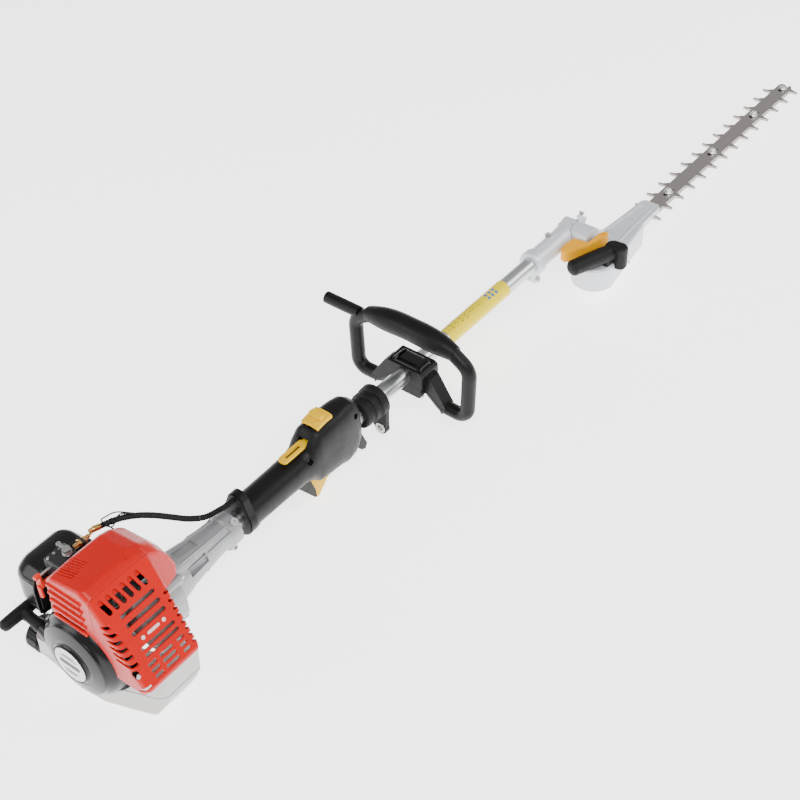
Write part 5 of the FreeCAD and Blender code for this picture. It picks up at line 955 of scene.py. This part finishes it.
SOFT = (
    # node, look, edge rounding in millimetres, body if not the frame
    ("clutch_case", "silver", 0.9),
    ("fan_case", "silver", 0.6),
    ("grip_left_shell", "black", 0.7),
    ("grip_right_shell", "black", 0.7),
    ("loop_handle", "black", 1.6),
    ("loop_clamp_cap", "black", 1.2),
    ("hanger_collar", "rubber", 0.8),
    ("strap_eyelet", "zinc", 0.3),
    ("upper_gearcase", "white_cast", 1.1),
    ("cutter_gearcase", "white_cast", 1.2, "head"),
    ("gearcase_cover", "white_cast", 0.8, "head"),
    ("release_lever", "amber", 2.2, "lever"),
    ("index_pin", "steel", 0.4, "pin"),
    ("throttle_trigger", "yellow", 1.0, "trigger"),
    ("lockout_lever", "yellow", 0.9, "lockout"),
    ("stop_switch", "yellow", 1.0, "switch"),
    ("throttle_arm", "zinc", 0.3, "throttle"),
    ("carburettor", "dark_alloy", 0.5),
    ("intake_block", "black", 0.6),
    ("air_filter_base", "black", 0.5),
    ("air_cleaner_knob", "black", 0.9, "knob"),
    ("fuel_cap", "black", 0.5, "cap"),
    ("frame_fasteners", "zinc", 0.35),
    ("cutter_case_fasteners", "zinc", 0.35, "head"),
    ("blade_bolts", "bright", 0.4, "head"),
    ("blade_guide_bar", "blade", 0.4, "head"),
    ("upper_blade", "blade", 0.45, "blade_a"),
    ("lower_blade", "blade", 0.45, "blade_b"),
)


def node_copy(name, new_name):
    """A separate copy of a CAD node."""
    copy = nodes[name].copy()
    copy.data = nodes[name].data.copy()
    copy.name = new_name
    return link(copy)


def soft_copy(name, look, width, body="frame"):
    """The CAD node with its sharp edges rounded, standing for that node."""
    copy = node_copy(name, name + "_soft")
    with editing(copy) as mesh:
        bmesh.ops.remove_doubles(mesh, verts=mesh.verts, dist=2e-6)
        bmesh.ops.dissolve_limit(mesh, angle_limit=math.radians(0.6), verts=mesh.verts, edges=mesh.edges)
    bevel(copy, width, 2, "ANGLE", angle_limit=math.radians(34), use_clamp_overlap=True)
    place_piece(copy, look, body, [name], angle=42)


# The adjusting grip, loop handle block and sleeve

def adjusting_grip():
    start, end = Vector((372, -50, -7)), Vector((458, -78.6, -9))
    way = (end - start).normalized()
    length = (end - start).length
    path = [start + way * (length * n / 44) for n in range(45)]

    def girth(share):
        along = share * length
        nose = math.sqrt(max(0.05, 1 - max(0, (8 - along) / 8) ** 2))
        rings = 0.5 * math.exp(-((along - 16) / 1.2) ** 2) + 0.5 * math.exp(-((along - 74) / 1.2) ** 2)
        return (12.6 + 0.6 * math.cos((share - 0.55) * math.pi)) * nose - rings
    bar = sweep("bar", path, girth, 36)
    outline = [(447, -66), (458, -66), (466, -72), (468, -92), (462, -101), (452, -101), (445, -95)]
    guard = round_edges(prism_of("guard", outline, "z", -34.5, 5), 3.6, 4, 20)
    outline = [(431, -66), (459, -66), (459, -85), (431, -83)]
    foot = round_edges(prism_of("foot", outline, "z", -30, -8), 3, 3, 20)
    place_piece(join("adjusting_grip_body", [bar, guard, foot]), "rubber", "head", ["adjusting_grip"],
                angle=50)


def loop_block():
    """The moulded cap over the loop handle's clamp."""
    top = []
    for x, y, z in ((20, 31, 9), (56, 31, 9), (23, 25, 16.2), (53, 25, 16.2), (28, 19, 19.4), (48, 19, 19.4)):
        top += [(x, y, z), (x, -y, z)]
    top += [(20, 31, 2), (56, 31, 2), (20, -31, 2), (56, -31, 2)]
    cap = round_edges(hull("loop_cap", top), 4.2, 5, 12, lambda e, m: 0.1 if m.z < 3 else 0.8)
    room = prism_of("room", [(16, -32), (60, -32), (60, 32), (16, 32)], "z", -4, 8)
    tube = lathe("tube", [(0, 0), (0, 13.2), (80, 13.2), (80, 0)], 48)
    carve(cap, room, tube)
    crisp(cap, 0.5)
    place_piece(cap, "gloss_black", angle=50)


SLEEVE_RADIUS = 13.5  # where the marks lie


def sleeve():
    """The vinyl sleeve on the tube, with plain generic marks."""
    ends = arc_profile([(118, 13.05), (118, 13.45), (266, 13.45), (266, 13.05)], 0.3, 2)
    place_piece(lathe("tube_sleeve", ends, 96), "sleeve")
    rng = random.Random(5)
    marks, dots = [], []
    for n in range(15):
        x = 126 + 5.6 * n + rng.uniform(-1.5, 1.5)
        turn = math.radians(118 - rng.uniform(0, 22))
        for k in range(3):
            way = spoke(turn - 0.42 * k)
            length = rng.uniform(2.4, 4.6)
            marks.append(plate(frame_of(Vector((x, 0, 0)) + way * SLEEVE_RADIUS,
                                        (1, rng.uniform(-0.8, 0.8), 0), way), length, 0.9, 0.2))
    for x in (222, 231, 240):
        for k in range(2):
            way = spoke(math.radians(112 - 30 * k))
            spot = Vector((x, 0, 0)) + way * SLEEVE_RADIUS
            dots.append(plate(frame_of(spot, (1, 0, 0), way), 5.6, 5.4, 0.2))
    place_piece(join("sleeve_marks", marks), "ink")
    place_piece(join("sleeve_roundels", dots), "mark_blue")
    edge = arc_profile([(62, 13.02), (62, 13.16), (92, 13.16), (92, 13.02)], 0.1, 2)
    place_piece(lathe("tube_end_sticker", edge, 64), "tube")


# The cast head's ridges and the blade's nuts

HEAD_Y = -46  # the blade's centre line
BOLT_FIRST, BOLT_PITCH = 686, 150.8
TREES = {}


def strike(name, start, way):
    """Where a ray in millimetres first meets a CAD node, or None."""
    if name not in TREES:
        mesh = bmesh.new()
        mesh.from_mesh(nodes[name].data)
        TREES[name] = BVHTree.FromBMesh(mesh)
        mesh.free()
    spot = TREES[name].ray_cast(Vector(start) * MM, Vector(way))[0]
    return None if spot is None else spot / MM


def drop(names, x, y):
    """The highest surface among CAD nodes at (x, y), in millimetres."""
    spots = [strike(name, (x, y, 400), (0, 0, -1)) for name in names]
    return max((spot.z for spot in spots if spot is not None), default=None)


def ridge(name, names, corners, radius, sink=0.45):
    """A rounded cast ridge that follows the surface under a line of (x, y) corners."""
    path = []
    for a, b in zip(corners, corners[1:]):
        for n in range(12):
            t = n / 12
            x, y = a[0] + (b[0] - a[0]) * t, a[1] + (b[1] - a[1]) * t
            z = drop(names, x, y)
            if z is not None:
                path.append(Vector((x, y, z)))
    soft = []
    for n in range(len(path)):
        near = path[max(0, n - 2):n + 3]
        z = sum(p.z for p in near) / len(near)
        soft.append(Vector((path[n].x, path[n].y, z + radius * (1 - 2 * sink))))

    def girth(share):
        return radius * math.sqrt(max(0.03, 1 - max(0, abs(share - 0.5) * 2 - 0.9) ** 2 * 99))
    return sweep(name, soft, girth, 12)


def head_details():
    case = ["cutter_gearcase"]
    rows = [ridge("ridge", case, [(x, HEAD_Y + side * off) for x, off in ((498, 17), (560, 12.5), (622, 9))],
                  2.2) for side in (1, -1)]
    place_piece(join("head_ridges", rows), "white_cast", "head")
    spot = (566, HEAD_Y)  # the grease plug
    z = drop(case, *spot)
    edge = arc_profile([(z - 2, 1.6), (z - 2, 4.6), (z + 0.9, 4.4), (z + 0.9, 2.2)], 0.5, 2)
    place_piece(lathe("rim", edge, 32, "z", spot), "white_cast", "head")
    plug = lathe("plug", [(z - 2, 0), (z - 2, 2.2), (z + 0.1, 2.2), (z - 0.4, 0)], 20, "z", spot)
    place_piece(plug, "dark_alloy", "head")
    for n, letter in enumerate("abc"):
        x = BOLT_FIRST + BOLT_PITCH * n
        z = drop(["upper_blade", "blade_bolts"], x, HEAD_Y)
        edge = arc_profile([(z - 1, 0), (z - 1, 4.0), (z + 1.8, 3.8), (z + 2.6, 2.6), (z + 2.6, 0)], 0.4, 2)
        nut = lathe("blade_nut_" + letter, edge, 6, "z", (x, HEAD_Y))
        place_piece(nut, "bright", "head")


def casting_details():
    """Raised ribs on the silver clutch case."""
    rows = []
    for turn in (35, 62, 118, 145):
        way = spoke(math.radians(turn))
        path = []
        for n in range(24):
            x = -446 + 4.1 * n
            spot = strike("clutch_case", Vector((x, 0, 0)) + way * 120, -way)
            if spot is not None:
                path.append(spot + way * 0.2)
        if len(path) > 6:
            soft = [sum(path[max(0, n - 1):n + 2], Vector()) / len(path[max(0, n - 1):n + 2])
                    for n in range(len(path))]
            rows.append(sweep("rib", soft, lambda s: 1.7 * math.sqrt(max(0.04, 1 - (2 * s - 1) ** 8)), 10))
    place_piece(join("clutch_case_ribs", rows), "silver")


def tank_seam():
    """The welded rim where the tank's two halves meet."""
    seam = node_copy("fuel_tank", "tank_seam")
    centre = Vector((-545, 0, -35)) * MM
    with editing(seam) as mesh:
        bmesh.ops.remove_doubles(mesh, verts=mesh.verts, dist=2e-6)
        for vert in mesh.verts:
            way = vert.co - centre
            way.z = 0
            if way.length:
                vert.co += way.normalized() * 0.9 * MM
    slab = prism_of("slab", [(-700, -200), (-400, -200), (-400, 200), (-700, 200)], "z", -52.2, -49.6)
    carve(seam, slab, mode="INTERSECT")
    crisp(seam, 0.3)
    place_piece(seam, "tank", angle=50)


for row in SOFT:
    soft_copy(*row)
adjusting_grip()
loop_block()
sleeve()
head_details()
casting_details()
tank_seam()


# Floor, lights and camera

GLOW = 2.4  # the floor is lit from within, like a light table


def sheet_floor(low):
    mesh = bpy.data.meshes.new("floor")
    size = 40.0
    mesh.from_pydata([(-size, -size, low), (size, -size, low), (size, size, low), (-size, size, low)],
                     [], [(0, 1, 2, 3)])
    floor = link(bpy.data.objects.new("floor", mesh))
    material, tree, shader = new_material("floor_paper")
    vector = coordinates(tree)
    tree.links.new(mix(tree, noise(tree, vector, 3, 4), (0.90, 0.90, 0.90), (0.94, 0.94, 0.935)),
                   shader.inputs["Base Color"])
    dial(shader, roughness=0.9, specular_ior_level=0.1, emission_color=(1, 1, 1, 1), emission_strength=GLOW)
    bump(tree, shader, noise(tree, vector, 300, 3), 0.04, 0.0004)
    mesh.materials.append(material)


def area_light(name, spot, target, size, power):
    light = bpy.data.lights.new(name, "AREA")
    light.shape = "RECTANGLE"
    light.size, light.size_y = size
    light.energy = power
    obj = link(bpy.data.objects.new(name, light))
    obj.location = spot
    obj.rotation_euler = (Vector(target) - Vector(spot)).to_track_quat("-Z", "Y").to_euler()


def studio():
    world = bpy.data.worlds.new("studio")
    world.use_nodes = True
    dial(world.node_tree.nodes["Background"], color=(1, 1, 1, 1), strength=0.6)
    bpy.context.scene.world = world
    area_light("key", (-1.2, -1.4, 2.4), (-0.2, 0, 0), (2.2, 1.4), 85)
    area_light("side", (-2.2, 1.4, 1.2), (-0.3, 0, 0), (1.4, 1.4), 30)
    area_light("front", (1.9, -1.6, 1.6), (0.6, 0, 0), (1.6, 1.2), 36)


def camera():
    """The viewpoint: behind, right of and above the engine, looking along the tube."""
    right = Vector((0.6092, -0.7928, -0.0188))
    down = Vector((-0.5380, -0.3957, -0.7443))
    ahead = Vector((0.5826, 0.4636, -0.6676))
    offset = Vector((-0.0070, -0.0246, 2.0995))
    spot = -(right * offset.x + down * offset.y + ahead * offset.z)
    data = bpy.data.cameras.new("camera")
    data.lens = 67.5
    data.sensor_width = 36
    data.clip_end = 50
    obj = link(bpy.data.objects.new("camera", data))
    turn = Matrix((right, -down, -ahead)).transposed().to_4x4()
    obj.matrix_world = Matrix.Translation(spot) @ turn
    bpy.context.scene.camera = obj


studio()
sheet_floor(cad_box[0][2] - 0.002)
camera()
